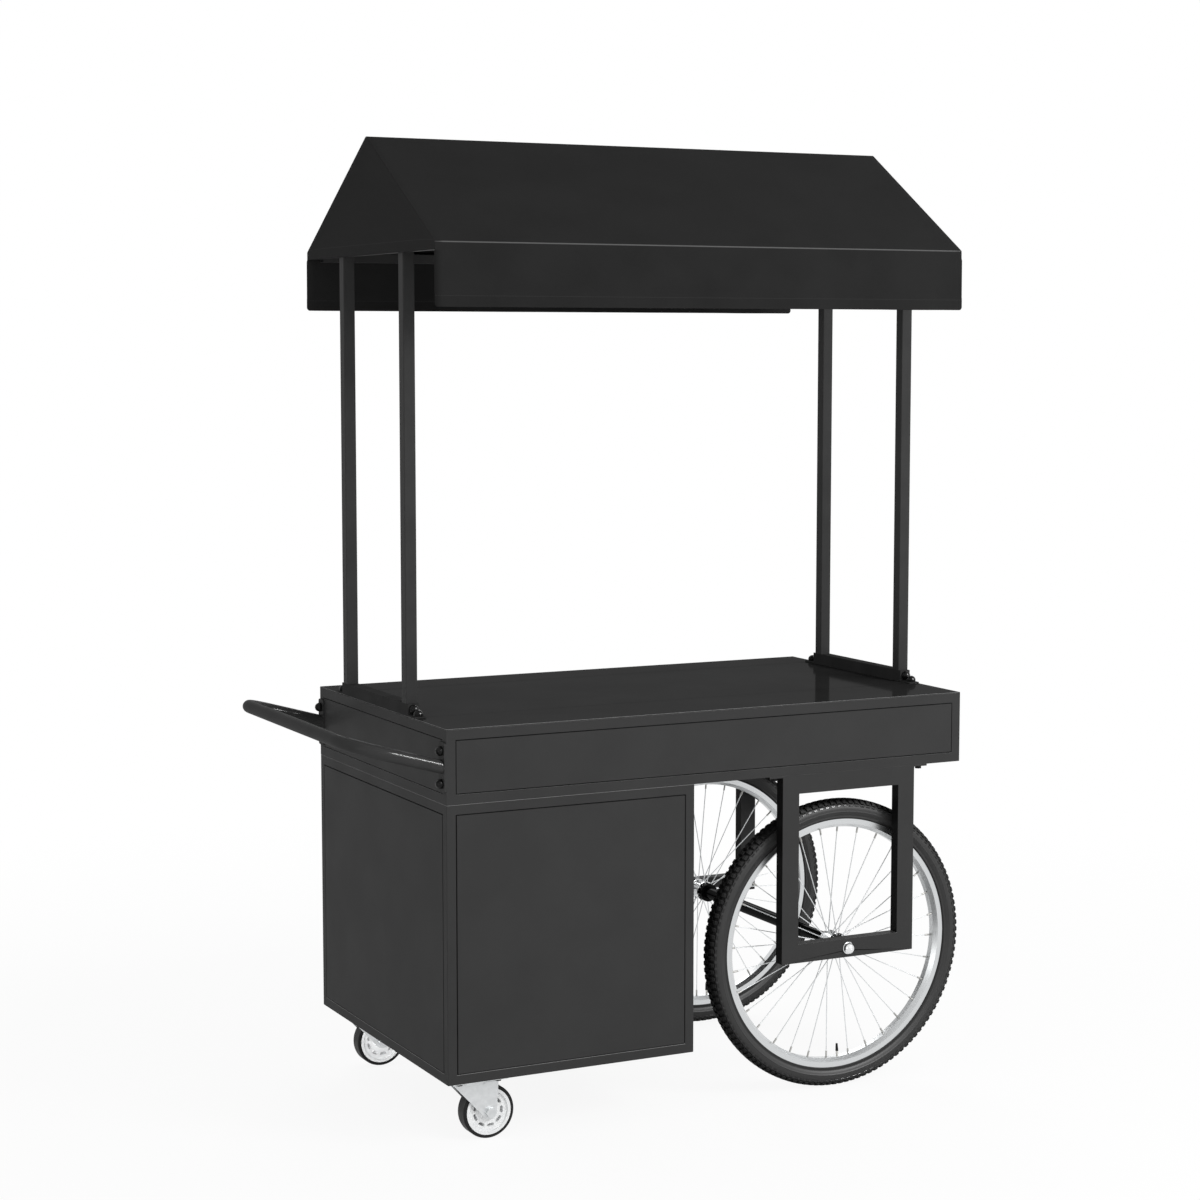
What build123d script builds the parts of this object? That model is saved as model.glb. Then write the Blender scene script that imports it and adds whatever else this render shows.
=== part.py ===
from build123d import *
import os
from math import atan2, cos, radians, sin, sqrt, tan

# Market cart: a sales table on two spoked wheels and two swivel casters, with a
# cabinet under its handle end and a cloth canopy on four posts. Millimetres.
# +Z is up, the front is -Y and the handle end is -X. The origin is on the floor,
# halfway along the cart's whole length and halfway across the table.

os.makedirs("parts", exist_ok=True)

# Table and cabinet, both welded boxes of square tube filled with sheet pans
cabinet_length = 550
wheel_bay_length = 650
table_width = 700
table_frame_height = 148
top_sheet = 2
cabinet_height = 560
tube = 20
tube_wall = 1.5
sheet = 1.5
panel_gap = 1.5
panel_lip = 10
panel_lip_length = 200
table_cross_spacing = 400
floor_clearance = 0.5

# Cabinet doors, hung on butt hinges at the back
door_gap = 3
hinge_height = 60
hinge_spacing = 340
hinge_leaf_width = 17
hinge_leaf = 1.5
hinge_barrel_d = 8
hinge_pin_d = 4
hinge_pin_head_d = 6
hinge_pin_head = 2
hinge_play = 0.05
knuckle_gap = 0.3
knob_d = 24
knob_height = 24
knob_neck_d = 10
knob_base_d = 16
knob_base = 2
knob_edge = 35
catch_length = 46
catch_height = 14
catch_hold = 16
catch_depth = 18
catch_gap = 0.3

# Push handle, a bent round tube with a welded flange at each end
handle_tube_d = 27
handle_tube_wall = 2
handle_reach = 190
handle_rise = 54
handle_bend = 80
handle_flange = 4
handle_flange_width = 28
handle_flange_height = 100
handle_flange_corner = 6
handle_bolt_spacing = 65

# Cap bolts of the handle and the canopy feet, hexagon bolts of the running gear
bolt_d = 8
bolt_hole_play = 0.4
dome_head_d = 19
dome_skirt = 5
dome_head = 8
dome_bolt_length = 18
hex_across_flats = 13
hex_head = 5.5
hex_bolt_length = 16

# Canopy posts and feet
post_side = 25
post_wall = 1.5
post_corner = 2
post_spacing = 328
canopy_setback = 30
foot_height = 25
foot_overhang = 5
bracket = 3
bracket_leg = 40
bracket_bolt_offset = 28
bracket_bolt_height = 14

# Canopy frame and cover
ridge_height = 2007
roof_rise = 224
canopy_width = 708
canopy_overhang = 6
valance_drop = 125
gable_drop = 16
tie_cover = 1
cloth = 2
cloth_gap = 0.3

# Spoked wheels, axle and the frames that carry them
wheel_gap = 61
rim_seat_d = 532
rim_width = 32
rim_wall = 2
rim_hook = 5.5
rim_height = 20
rim_well_depth = 9
rim_shoulder_depth = 13
rim_inner_width = 14
tyre_section = 44.5
tyre_wall = 3.5
tread_width = 40
tread_depth = 30
tread_corner = 14
tyre_fit = 0.3
bead_width = 3.5
bead_fit = 0.5
inner_tube_wall = 1
valve_d = 5
valve_length = 27
valve_cap_d = 6.5
valve_tip_d = 4.5
valve_cap = 16
valve_hole_play = 0.4
hub_width = 60
hub_inner = 25
hub_play = 0.3
hub_barrel_d = 26
hub_end_d = 18
hub_flange_d = 46
hub_flange = 3
hub_flange_spacing = 34
spoke_circle_d = 40
spokes_per_face = 8
wheel_turn = 3
spoke_d = 2
spoke_elbow_d = 2.3
spoke_hole_play = 0.3
spoke_flange_play = 0.8
spoke_spread = 1.5
spoke_rim_gap = 0.35
nipple_d = 3.8
nipple_length = 12
axle_d = 10
axle_fit = 0.1
axle_hole_play = 0.6
axle_tube_d = 27
axle_collar_d = 42
axle_collar = 8
axle_nut_d = 24
axle_nut_skirt = 5
axle_nut_dome = 9
axle_washer_d = 26
axle_washer = 2
axle_nut_bore = 8
wheel_frame_width = 325
wheel_frame_tube = 40
wheel_frame_depth = 25
frame_tab_length = 32
frame_tab = 4
frame_tab_bolt_inset = 16

# Swivel casters
caster_wheel_d = 110
caster_wheel_width = 32
caster_tyre = 7
caster_tyre_edge = 3
caster_tyre_fit = 0.1
caster_core_rim = 6
caster_hub_d = 34
caster_web = 24
caster_slots = 9
caster_slot_width = 6
caster_slot_length = 15
caster_axle_d = 12
caster_axle_fit = 0.1
caster_axle_nut_flats = 18
caster_axle_nut = 7
caster_side_play = 0.5
caster_trail = 30
caster_crown_gap = 5
fork_sheet = 3
fork_hub_width = 36
fork_front = 49
fork_back = 45
fork_boss_d = 30
race_d = 58
race_height = 10
race_gap = 0.3
kingpin_d = 12
kingpin_fit = 0.1
kingpin_head_d = 20
kingpin_head = 5.5
caster_plate_length = 124
caster_plate_width = 100
caster_plate = 4
caster_plate_corner = 8
caster_bolt_length_spacing = 84
caster_bolt_width_spacing = 68
caster_end_inset = 77
caster_side_inset = 60

# Heights above the floor
caster_radius = caster_wheel_d / 2
fork_crown_z = caster_wheel_d + caster_crown_gap
race_z = fork_crown_z + fork_sheet
caster_plate_z = race_z + race_height
cabinet_bottom = caster_plate_z + caster_plate
table_bottom = cabinet_bottom + cabinet_height
table_frame_top = table_bottom + table_frame_height
table_top = table_frame_top + top_sheet
opening_bottom = cabinet_bottom + tube
opening_height = cabinet_height - 2 * tube
opening_middle = opening_bottom + opening_height / 2
table_middle = table_bottom + table_frame_height / 2

# Wheel radii, outwards from the rim's inner face to the tread
rim_hook_r = rim_seat_d / 2 + rim_hook
rim_inner_r = rim_hook_r - rim_height
rim_well_r = rim_hook_r - rim_well_depth
rim_shoulder_r = rim_hook_r - rim_shoulder_depth
rim_half = rim_width / 2
rim_channel_half = rim_half - rim_wall
tyre_half = tyre_section / 2
tyre_centre_r = rim_hook_r + tyre_fit + sqrt(tyre_half**2 - rim_channel_half**2)
wheel_r = tyre_centre_r + tyre_half

# Places along and across the cart
table_length = cabinet_length + wheel_bay_length
handle_overhang = handle_reach + handle_tube_d / 2
wheel_overhang = wheel_gap + 2 * wheel_r - wheel_bay_length
table_x = (handle_overhang - wheel_overhang) / 2
left_x = table_x - table_length / 2
right_x = table_x + table_length / 2
cabinet_right_x = left_x + cabinet_length
cabinet_x = left_x + cabinet_length / 2
wheel_x = cabinet_right_x + wheel_gap + wheel_r
side_y = table_width / 2
hub_outer = hub_width - hub_inner
wheel_y = side_y - wheel_frame_depth - hub_outer
handle_y = side_y - handle_flange_width / 2
caster_x = left_x + caster_end_inset
caster_y = side_y - caster_side_inset
caster_axle_x = caster_x + caster_trail
left_post_x = left_x + post_side / 2
right_post_x = right_x - post_side / 2

# Canopy lines: the roof's slope, its edges and the tops of the posts
roof_half = canopy_width / 2
roof_slope = atan2(roof_rise, roof_half)
eave_height = ridge_height - roof_rise
valance_bottom = eave_height - valance_drop
gable_hem = eave_height - gable_drop
tie_bottom = gable_hem + tie_cover
frame_inset = cloth + cloth_gap
foot_top = table_top + foot_height
foot_length = post_spacing + post_side + 2 * foot_overhang


def save(piece, name):
    """Label a finished piece and write it to a file of its own."""
    piece.part.label = name
    export_step(piece.part, f"parts/{name}.step")


def wall_plane(x, y, z, normal_x, normal_y):
    """An upright plane facing the given way, its own x level and its y upwards."""
    return Plane((x, y, z), x_dir=(-normal_y, normal_x, 0), z_dir=(normal_x, normal_y, 0))


def seat(x, y, z, head_towards):
    """The place of a bolt whose head rests at the point and faces the given way."""
    return Plane((x, y, z), z_dir=head_towards).location


def box_edges(length, width, height, side):
    """The twelve edges of a box as square bars, around the origin."""
    with BuildPart() as edges:
        Box(length, width, height)
        Box(length, width - 2 * side, height - 2 * side, mode=Mode.SUBTRACT)
        Box(length - 2 * side, width, height - 2 * side, mode=Mode.SUBTRACT)
        Box(length - 2 * side, width - 2 * side, height, mode=Mode.SUBTRACT)
    return edges.part


def pan(face, width, height, lip):
    """A sheet tray as deep as the tube, with a lip of the given width behind each rail."""
    lip_height = sheet + panel_gap + lip
    lip_middle = height / 2 - sheet + lip_height / 2
    with BuildPart() as tray:
        with BuildSketch(face):
            Rectangle(width, height)
        extrude(amount=-tube)
        with BuildSketch(face.offset(-sheet)):
            Rectangle(width - 2 * sheet, height - 2 * sheet)
        extrude(amount=sheet - tube, mode=Mode.SUBTRACT)
        if lip:
            with BuildSketch(face.offset(-tube)):
                with Locations((0, lip_middle), (0, -lip_middle)):
                    Rectangle(panel_lip_length, lip_height)
            extrude(amount=-sheet)
    return tray


def roof_z(inset, y):
    """Height of the roof's slope, moved in square to itself, at a distance from the ridge."""
    return ridge_height - inset / cos(roof_slope) - abs(y) * tan(roof_slope)


def canopy_outline(inset, bottom):
    """The canopy's end outline, moved inwards and cut level at the bottom."""
    half = roof_half - inset
    left, middle, right = canopy_setback - half, canopy_setback, canopy_setback + half
    eave = roof_z(inset, half)
    return ((left, bottom), (right, bottom), (right, eave), (middle, roof_z(inset, 0)), (left, eave))


# Bolt patterns: one list of seats for each group of bolts
handle_seats = []
for y in (-handle_y, handle_y):
    for z in (table_middle - handle_bolt_spacing / 2, table_middle + handle_bolt_spacing / 2):
        handle_seats.append(seat(left_x - handle_flange, y, z, (-1, 0, 0)))

foot_end_seats = []
foot_top_seats = []
for x in (left_post_x, right_post_x):
    for way in (-1, 1):
        bracket_y = canopy_setback + way * (foot_length / 2 + bracket)
        foot_end_seats.append(seat(x, bracket_y, table_top + bracket_bolt_height, (0, way, 0)))
        top_y = bracket_y + way * (bracket_bolt_offset - bracket)
        foot_top_seats.append(seat(x, top_y, table_top + bracket, (0, 0, 1)))

caster_seats = []
for y in (-caster_y, caster_y):
    for dx in (-caster_bolt_length_spacing / 2, caster_bolt_length_spacing / 2):
        for dy in (-caster_bolt_width_spacing / 2, caster_bolt_width_spacing / 2):
            caster_seats.append(seat(caster_x + dx, y + dy, caster_plate_z, (0, 0, -1)))

tab_seats = []
for y in (tube / 2 - side_y, side_y - tube / 2):
    for way in (-1, 1):
        tab_x = wheel_x + way * (wheel_frame_width / 2 + frame_tab_bolt_inset)
        tab_seats.append(seat(tab_x, y, table_bottom - frame_tab, (0, 0, -1)))

bolt_hole_r = (bolt_d + bolt_hole_play) / 2
downwards = (Align.CENTER, Align.CENTER, Align.MAX)
upwards = (Align.CENTER, Align.CENTER, Align.MIN)

# Table frame: twelve tubes and two cross rails under the top
table_bars = box_edges(table_length, table_width, table_frame_height, tube)
table_bores = box_edges(
    table_length - 2 * tube_wall,
    table_width - 2 * tube_wall,
    table_frame_height - 2 * tube_wall,
    tube - 2 * tube_wall,
)
table_cross_z = table_frame_top - tube / 2
with BuildPart() as table_frame:
    with Locations((table_x, 0, table_middle)):
        add(table_bars)
        add(table_bores, mode=Mode.SUBTRACT)
    with Locations((table_x, 0, table_cross_z)):
        with GridLocations(table_cross_spacing, 0, 2, 1):
            Box(tube, table_width - 2 * tube, tube)
            Box(tube - 2 * tube_wall, table_width - 2 * tube, tube - 2 * tube_wall, mode=Mode.SUBTRACT)
    with Locations(*handle_seats):
        Cylinder(bolt_hole_r, dome_bolt_length, align=downwards, mode=Mode.SUBTRACT)
    with Locations(*foot_top_seats):
        Cylinder(bolt_hole_r, dome_bolt_length, align=downwards, mode=Mode.SUBTRACT)
    with Locations(*tab_seats):
        Cylinder(bolt_hole_r, hex_bolt_length, align=downwards, mode=Mode.SUBTRACT)
save(table_frame, "table_frame")

# Table top: one flat sheet over the frame
with BuildPart() as tabletop:
    with BuildSketch(Plane.XY.offset(table_frame_top)):
        with Locations((table_x, 0)):
            Rectangle(table_length, table_width)
    extrude(amount=top_sheet)
    with Locations(*foot_top_seats):
        Cylinder(bolt_hole_r, dome_bolt_length, align=downwards, mode=Mode.SUBTRACT)
save(tabletop, "tabletop")

# Cabinet frame: twelve tubes and two cross rails that carry the casters
cabinet_bars = box_edges(cabinet_length, table_width, cabinet_height, tube)
cabinet_bores = box_edges(
    cabinet_length - 2 * tube_wall,
    table_width - 2 * tube_wall,
    cabinet_height - 2 * tube_wall,
    tube - 2 * tube_wall,
)
with BuildPart() as cabinet_frame:
    with Locations((cabinet_x, 0, cabinet_bottom + cabinet_height / 2)):
        add(cabinet_bars)
        add(cabinet_bores, mode=Mode.SUBTRACT)
    with Locations((caster_x, 0, cabinet_bottom + tube / 2)):
        with GridLocations(caster_bolt_length_spacing, 0, 2, 1):
            Box(tube, table_width - 2 * tube, tube)
            Box(tube - 2 * tube_wall, table_width - 2 * tube, tube - 2 * tube_wall, mode=Mode.SUBTRACT)
    with Locations(*caster_seats):
        Cylinder(bolt_hole_r, hex_bolt_length, align=downwards, mode=Mode.SUBTRACT)
save(cabinet_frame, "cabinet_frame")

# Sheet pans of the table and the cabinet, flush with the tubes around them
pan_margin = 2 * (tube + panel_gap)
end_pan_width = table_width - pan_margin
long_pan_width = table_length - pan_margin
table_pans = {
    "table_front_panel": (wall_plane(table_x, -side_y, table_middle, 0, -1), long_pan_width),
    "table_rear_panel": (wall_plane(table_x, side_y, table_middle, 0, 1), long_pan_width),
    "table_left_panel": (wall_plane(left_x, 0, table_middle, -1, 0), end_pan_width),
    "table_right_panel": (wall_plane(right_x, 0, table_middle, 1, 0), end_pan_width),
}
cabinet_pans = {
    "cabinet_front_panel": (
        wall_plane(cabinet_x, -side_y, opening_middle, 0, -1),
        cabinet_length - pan_margin,
    ),
    "cabinet_left_panel": (wall_plane(left_x, 0, opening_middle, -1, 0), end_pan_width),
    "cabinet_right_panel": (wall_plane(cabinet_right_x, 0, opening_middle, 1, 0), end_pan_width),
}
for name, (face, width) in table_pans.items():
    panel = pan(face, width, table_frame_height - pan_margin, panel_lip)
    save(panel, name)
for name, (face, width) in cabinet_pans.items():
    panel = pan(face, width, cabinet_height - pan_margin, panel_lip)
    save(panel, name)

# Cabinet floor: a sheet laid on the cross rails
floor_inset = tube + sheet + floor_clearance
with BuildPart() as cabinet_floor:
    with BuildSketch(Plane.XY.offset(opening_bottom)):
        with Locations((cabinet_x, 0)):
            Rectangle(
                cabinet_length - 2 * floor_inset,
                table_width - 2 * floor_inset,
            )
    extrude(amount=sheet)
save(cabinet_floor, "cabinet_floor")

# Doors: two trays in the opening at the back, with mushroom knobs at their meeting edges
door_width = (cabinet_length - 2 * tube - 3 * door_gap) / 2
door_height = opening_height - 2 * door_gap
hinge_r = hinge_barrel_d / 2
hinge_y = side_y + hinge_r
hinge_heights = (opening_middle - hinge_spacing / 2, opening_middle + hinge_spacing / 2)
knuckle = hinge_height / 3
# for each door: where its hinge line stands, and which way the door runs from it
door_sides = {
    "left": (left_x + tube + door_gap / 2, 1),
    "right": (cabinet_right_x - tube - door_gap / 2, -1),
}


def hinge_half(way, own_knuckles, other_knuckles):
    """A hinge leaf around its pin line, its plate running the given way along X."""
    with BuildPart() as leaf:
        with Locations((way * hinge_leaf_width / 2, hinge_leaf / 2 - hinge_r, 0)):
            Box(hinge_leaf_width, hinge_leaf, hinge_height)
        with Locations(*[(0, 0, z) for z in other_knuckles]):
            Cylinder(hinge_r + knuckle_gap, knuckle + knuckle_gap, mode=Mode.SUBTRACT)
        with Locations(*[(0, 0, z) for z in own_knuckles]):
            Cylinder(hinge_r, knuckle - knuckle_gap)
        Cylinder(hinge_pin_d / 2 + hinge_play, hinge_height, mode=Mode.SUBTRACT)
    return leaf.part


middle_knuckle = (0,)
outer_knuckles = (-knuckle, knuckle)
frame_leaves = {way: hinge_half(-way, outer_knuckles, middle_knuckle) for way in (1, -1)}
door_leaves = {way: hinge_half(way, middle_knuckle, outer_knuckles) for way in (1, -1)}

for side, (hinge_x, way) in door_sides.items():
    door_x = hinge_x + way * (door_gap / 2 + door_width / 2)
    door = pan(wall_plane(door_x, side_y, opening_middle, 0, 1), door_width, door_height, 0)
    save(door, f"{side}_door")

    knob_x = door_x + way * (door_width / 2 - knob_edge)
    with BuildPart() as door_knob:
        with BuildSketch(wall_plane(knob_x, side_y, opening_middle, 0, 1)):
            Circle(knob_base_d / 2)
        extrude(amount=knob_base)
        with BuildSketch(wall_plane(knob_x, side_y, opening_middle, 0, 1)):
            Circle(knob_neck_d / 2)
        extrude(amount=knob_height / 2)
        with BuildSketch(wall_plane(knob_x, side_y + knob_height / 2, opening_middle, 0, 1)):
            Circle(knob_d / 2)
        extrude(amount=knob_height / 2)
        fillet(door_knob.edges().group_by(Axis.Y)[-1], knob_height / 5)
    save(door_knob, f"{side}_door_knob")

    with BuildPart() as door_hinge_leaves:
        with Locations(*[(hinge_x, hinge_y, z) for z in hinge_heights]):
            add(door_leaves[way])
    save(door_hinge_leaves, f"{side}_door_hinge_leaves")

with BuildPart() as frame_hinge_leaves:
    for hinge_x, way in door_sides.values():
        with Locations(*[(hinge_x, hinge_y, z) for z in hinge_heights]):
            add(frame_leaves[way])
save(frame_hinge_leaves, "frame_hinge_leaves")

with BuildPart() as hinge_pins:
    for hinge_x, way in door_sides.values():
        with Locations(*[(hinge_x, hinge_y, z) for z in hinge_heights]):
            Cylinder(hinge_pin_d / 2, hinge_height)
        with Locations(*[(hinge_x, hinge_y, z + hinge_height / 2) for z in hinge_heights]):
            Cylinder(hinge_pin_head_d / 2, hinge_pin_head, align=upwards)
save(hinge_pins, "hinge_pins")

# Door catch: a magnet block on the inner face of the top rail, reaching down behind both doors
catch_top = opening_bottom + opening_height
catch_back = side_y - tube - catch_depth
with BuildPart() as door_catch:
    with Locations((cabinet_x, catch_back, catch_top)):
        Box(catch_length, catch_depth, catch_hold, align=(Align.CENTER, Align.MIN, Align.MIN))
        Box(catch_length, catch_depth - catch_gap, catch_height, align=(Align.CENTER, Align.MIN, Align.MAX))
save(door_catch, "door_catch")

# Handle: one bent tube, rising from its flanges to a grip across the cart's end
handle_grip_x = left_x - handle_reach
handle_grip_z = table_middle + handle_rise
with BuildPart() as handle:
    with BuildLine():
        handle_route = FilletPolyline(
            (left_x, -handle_y, table_middle),
            (handle_grip_x, -handle_y, handle_grip_z),
            (handle_grip_x, handle_y, handle_grip_z),
            (left_x, handle_y, table_middle),
            radius=handle_bend,
        )
    with BuildSketch(Plane(handle_route @ 0, z_dir=handle_route % 0)):
        Circle(handle_tube_d / 2)
        Circle(handle_tube_d / 2 - handle_tube_wall, mode=Mode.SUBTRACT)
    sweep()
    with BuildSketch(wall_plane(left_x, 0, table_middle, -1, 0)):
        with GridLocations(2 * handle_y, 0, 2, 1):
            RectangleRounded(handle_flange_width, handle_flange_height, handle_flange_corner)
    extrude(amount=handle_flange)
    with Locations((left_x, 0, table_middle)):
        Box(
            handle_tube_d,
            table_width,
            handle_flange_height,
            align=(Align.MIN, Align.CENTER, Align.CENTER),
            mode=Mode.SUBTRACT,
        )
    with Locations(*handle_seats):
        Cylinder(bolt_hole_r, handle_flange, align=downwards, mode=Mode.SUBTRACT)
save(handle, "handle")

# Cap bolts: tall domed heads on the handle's flanges and on the foot brackets
dome_r = dome_head_d / 2
dome_curve_r = (dome_r**2 + dome_head**2) / (2 * dome_head)
dome_top = dome_skirt + dome_head
with BuildPart() as dome_bolt:
    with BuildSketch(Plane.XZ):
        with BuildLine():
            Polyline((0, dome_top), (0, 0), (dome_r, 0), (dome_r, dome_skirt))
            RadiusArc((dome_r, dome_skirt), (0, dome_top), -dome_curve_r)
        make_face()
    revolve(axis=Axis.Z)
    Cylinder(bolt_d / 2, dome_bolt_length, align=downwards)
with BuildPart() as dome_bolts:
    with Locations(*handle_seats, *foot_end_seats, *foot_top_seats):
        add(dome_bolt.part)
save(dome_bolts, "dome_bolts")

# Hexagon bolts: they hold the wheel frames under the table and the casters under the cabinet
with BuildPart() as hex_bolt:
    with BuildSketch():
        RegularPolygon(hex_across_flats / 2, 6, major_radius=False)
    extrude(amount=hex_head)
    Cylinder(bolt_d / 2, hex_bolt_length, align=downwards)
with BuildPart() as hex_bolts:
    with Locations(*caster_seats, *tab_seats):
        add(hex_bolt.part)
save(hex_bolts, "hex_bolts")

# Posts: square tubes that stand on the foot bars and carry the gable frames
post_rows = {"front": canopy_setback - post_spacing / 2, "rear": canopy_setback + post_spacing / 2}
post_ends = {"left": left_post_x, "right": right_post_x}
post_bore = post_side - 2 * post_wall
for row, post_y in post_rows.items():
    for end, post_x in post_ends.items():
        with BuildPart() as post:
            with BuildSketch(Plane.XY.offset(foot_top)):
                with Locations((post_x, post_y)):
                    RectangleRounded(post_side, post_side, post_corner)
                    RectangleRounded(post_bore, post_bore, post_corner - post_wall, mode=Mode.SUBTRACT)
            extrude(amount=tie_bottom - foot_top)
        save(post, f"{row}_{end}_post")

# Foot bars: a solid bar under each pair of posts, tapped at both ends
with BuildPart() as foot_bars:
    with BuildSketch(Plane.XY.offset(table_top)):
        with Locations((left_post_x, canopy_setback), (right_post_x, canopy_setback)):
            Rectangle(post_side, foot_length)
    extrude(amount=foot_height)
    with Locations(*foot_end_seats):
        Cylinder(bolt_hole_r, dome_bolt_length, align=downwards, mode=Mode.SUBTRACT)
save(foot_bars, "foot_bars")

# Foot brackets: bent plates that hold the bar ends down on the table
with BuildPart() as foot_brackets:
    for post_x in post_ends.values():
        for way in (-1, 1):
            bar_end = canopy_setback + way * foot_length / 2
            with BuildSketch(Plane.YZ.offset(post_x)):
                with BuildLine():
                    Polyline(
                        (bar_end, table_top),
                        (bar_end + way * bracket_leg, table_top),
                        (bar_end + way * bracket_leg, table_top + bracket),
                        (bar_end + way * bracket, table_top + bracket),
                        (bar_end + way * bracket, foot_top),
                        (bar_end, foot_top),
                        close=True,
                    )
                make_face()
            extrude(amount=post_side / 2, both=True)
    with Locations(*foot_end_seats, *foot_top_seats):
        Cylinder(bolt_hole_r, 2 * bracket, mode=Mode.SUBTRACT)
save(foot_brackets, "foot_brackets")


def gable_shape(inset):
    """The gable frame's edge and its window, both moved into the tube by the inset."""
    edge = canopy_outline(frame_inset + inset, tie_bottom + inset)
    window_bottom = tie_bottom + tube - inset
    window_top = roof_z(frame_inset + tube - inset, 0)
    window_half = (window_top - window_bottom) / tan(roof_slope)
    window = (
        (canopy_setback - window_half, window_bottom),
        (canopy_setback + window_half, window_bottom),
        (canopy_setback, window_top),
    )
    return edge, window


# Gable frames: a tie and two rafters of square tube, standing on the posts
for end, post_x in post_ends.items():
    with BuildPart() as gable_frame:
        with BuildSketch(Plane.YZ.offset(post_x - tube / 2)):
            edge, window = gable_shape(0)
            Polygon(*edge, align=None)
            Polygon(*window, align=None, mode=Mode.SUBTRACT)
        extrude(amount=tube)
        with BuildSketch(Plane.YZ.offset(post_x - tube / 2 + tube_wall)):
            edge, window = gable_shape(tube_wall)
            Polygon(*edge, align=None)
            Polygon(*window, align=None, mode=Mode.SUBTRACT)
        extrude(amount=tube - 2 * tube_wall, mode=Mode.SUBTRACT)
    save(gable_frame, f"{end}_gable_frame")

# Ridge tube and eave tubes, welded between the gable frames
gable_gap = right_post_x - left_post_x - tube
eave_tube_y = roof_half - frame_inset - tube / 2
eave_tube_z = roof_z(frame_inset, roof_half - frame_inset) - tube / 2
with BuildPart() as ridge_tube:
    with BuildSketch(Plane.YZ.offset(left_post_x + tube / 2)):
        with Locations((canopy_setback, roof_z(frame_inset, tube / 2) - tube / 2)):
            Rectangle(tube, tube)
            Rectangle(tube - 2 * tube_wall, tube - 2 * tube_wall, mode=Mode.SUBTRACT)
    extrude(amount=gable_gap)
save(ridge_tube, "ridge_tube")

with BuildPart() as eave_tubes:
    with BuildSketch(Plane.YZ.offset(left_post_x + tube / 2)):
        with Locations((canopy_setback, eave_tube_z)):
            with GridLocations(2 * eave_tube_y, 0, 2, 1):
                Rectangle(tube, tube)
                Rectangle(tube - 2 * tube_wall, tube - 2 * tube_wall, mode=Mode.SUBTRACT)
    extrude(amount=gable_gap)
save(eave_tubes, "eave_tubes")

# Canopy cover: two slopes, two gables and a valance along each long side
canopy_left_x = left_x - canopy_overhang
canopy_length = table_length + 2 * canopy_overhang
with BuildPart() as canopy_cover:
    with BuildSketch(Plane.YZ.offset(canopy_left_x)):
        Polygon(*canopy_outline(0, valance_bottom), align=None)
    extrude(amount=canopy_length)
    with BuildSketch(Plane.YZ.offset(canopy_left_x + cloth)):
        Polygon(*canopy_outline(cloth, valance_bottom), align=None)
    extrude(amount=canopy_length - 2 * cloth, mode=Mode.SUBTRACT)
    with Locations((table_x, canopy_setback, valance_bottom)):
        Box(
            canopy_length,
            canopy_width - 2 * cloth,
            valance_drop - gable_drop,
            align=upwards,
            mode=Mode.SUBTRACT,
        )
save(canopy_cover, "canopy_cover")

# Wheel frames: upright rectangles of flat tube, bolted up under the table by their tabs
axle_line = Axis((wheel_x, 0, wheel_r), (0, 1, 0))
wheel_frame_bottom = wheel_r - wheel_frame_tube / 2
wheel_frame_height = table_bottom - wheel_frame_bottom
wheel_frame_middle = wheel_frame_bottom + wheel_frame_height / 2
for side, frame_y in {"front": -side_y, "rear": side_y - wheel_frame_depth}.items():
    with BuildPart() as wheel_frame:
        for inset, mode in ((0, Mode.ADD), (tube_wall, Mode.SUBTRACT)):
            with BuildSketch(Plane.XZ.offset(-frame_y - inset)):
                with Locations((wheel_x, wheel_frame_middle)):
                    Rectangle(wheel_frame_width - 2 * inset, wheel_frame_height - 2 * inset)
                    Rectangle(
                        wheel_frame_width - 2 * wheel_frame_tube + 2 * inset,
                        wheel_frame_height - 2 * wheel_frame_tube + 2 * inset,
                        mode=Mode.SUBTRACT,
                    )
            extrude(amount=2 * inset - wheel_frame_depth, mode=mode)
        tab_reach = (wheel_frame_width + frame_tab_length) / 2
        with Locations((wheel_x, frame_y + wheel_frame_depth / 2, table_bottom)):
            with GridLocations(2 * tab_reach, 0, 2, 1):
                Box(frame_tab_length, wheel_frame_depth, frame_tab, align=downwards)
        with Locations(*tab_seats):
            Cylinder(bolt_hole_r, frame_tab, align=downwards, mode=Mode.SUBTRACT)
        with Locations((wheel_x, frame_y + wheel_frame_depth / 2, wheel_r)):
            Cylinder(
                (axle_d + axle_hole_play) / 2,
                wheel_frame_depth,
                rotation=(90, 0, 0),
                mode=Mode.SUBTRACT,
            )
    save(wheel_frame, f"{side}_wheel_frame")

# Axle: a rod through both frames, a spacer tube between the hubs and a domed nut at each end
rod_half = side_y + axle_washer + axle_nut_bore
with BuildPart() as axle_rod:
    with BuildSketch(Plane.XZ.offset(-rod_half)):
        with Locations((wheel_x, wheel_r)):
            Circle(axle_d / 2)
    extrude(amount=2 * rod_half)
save(axle_rod, "axle_rod")

spacer_half = wheel_y - hub_inner
with BuildPart() as axle_tube:
    with BuildSketch(Plane.XZ.offset(-spacer_half)):
        with Locations((wheel_x, wheel_r)):
            Circle(axle_tube_d / 2)
    extrude(amount=2 * spacer_half)
    with BuildSketch(Plane.XZ.offset(-spacer_half)):
        with Locations((wheel_x, wheel_r)):
            Circle(axle_collar_d / 2)
    extrude(amount=axle_collar)
    with BuildSketch(Plane.XZ.offset(-spacer_half)):
        with Locations((wheel_x, wheel_r)):
            Circle((axle_d + axle_hole_play) / 2)
    extrude(amount=2 * spacer_half, mode=Mode.SUBTRACT)
save(axle_tube, "axle_tube")

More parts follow.
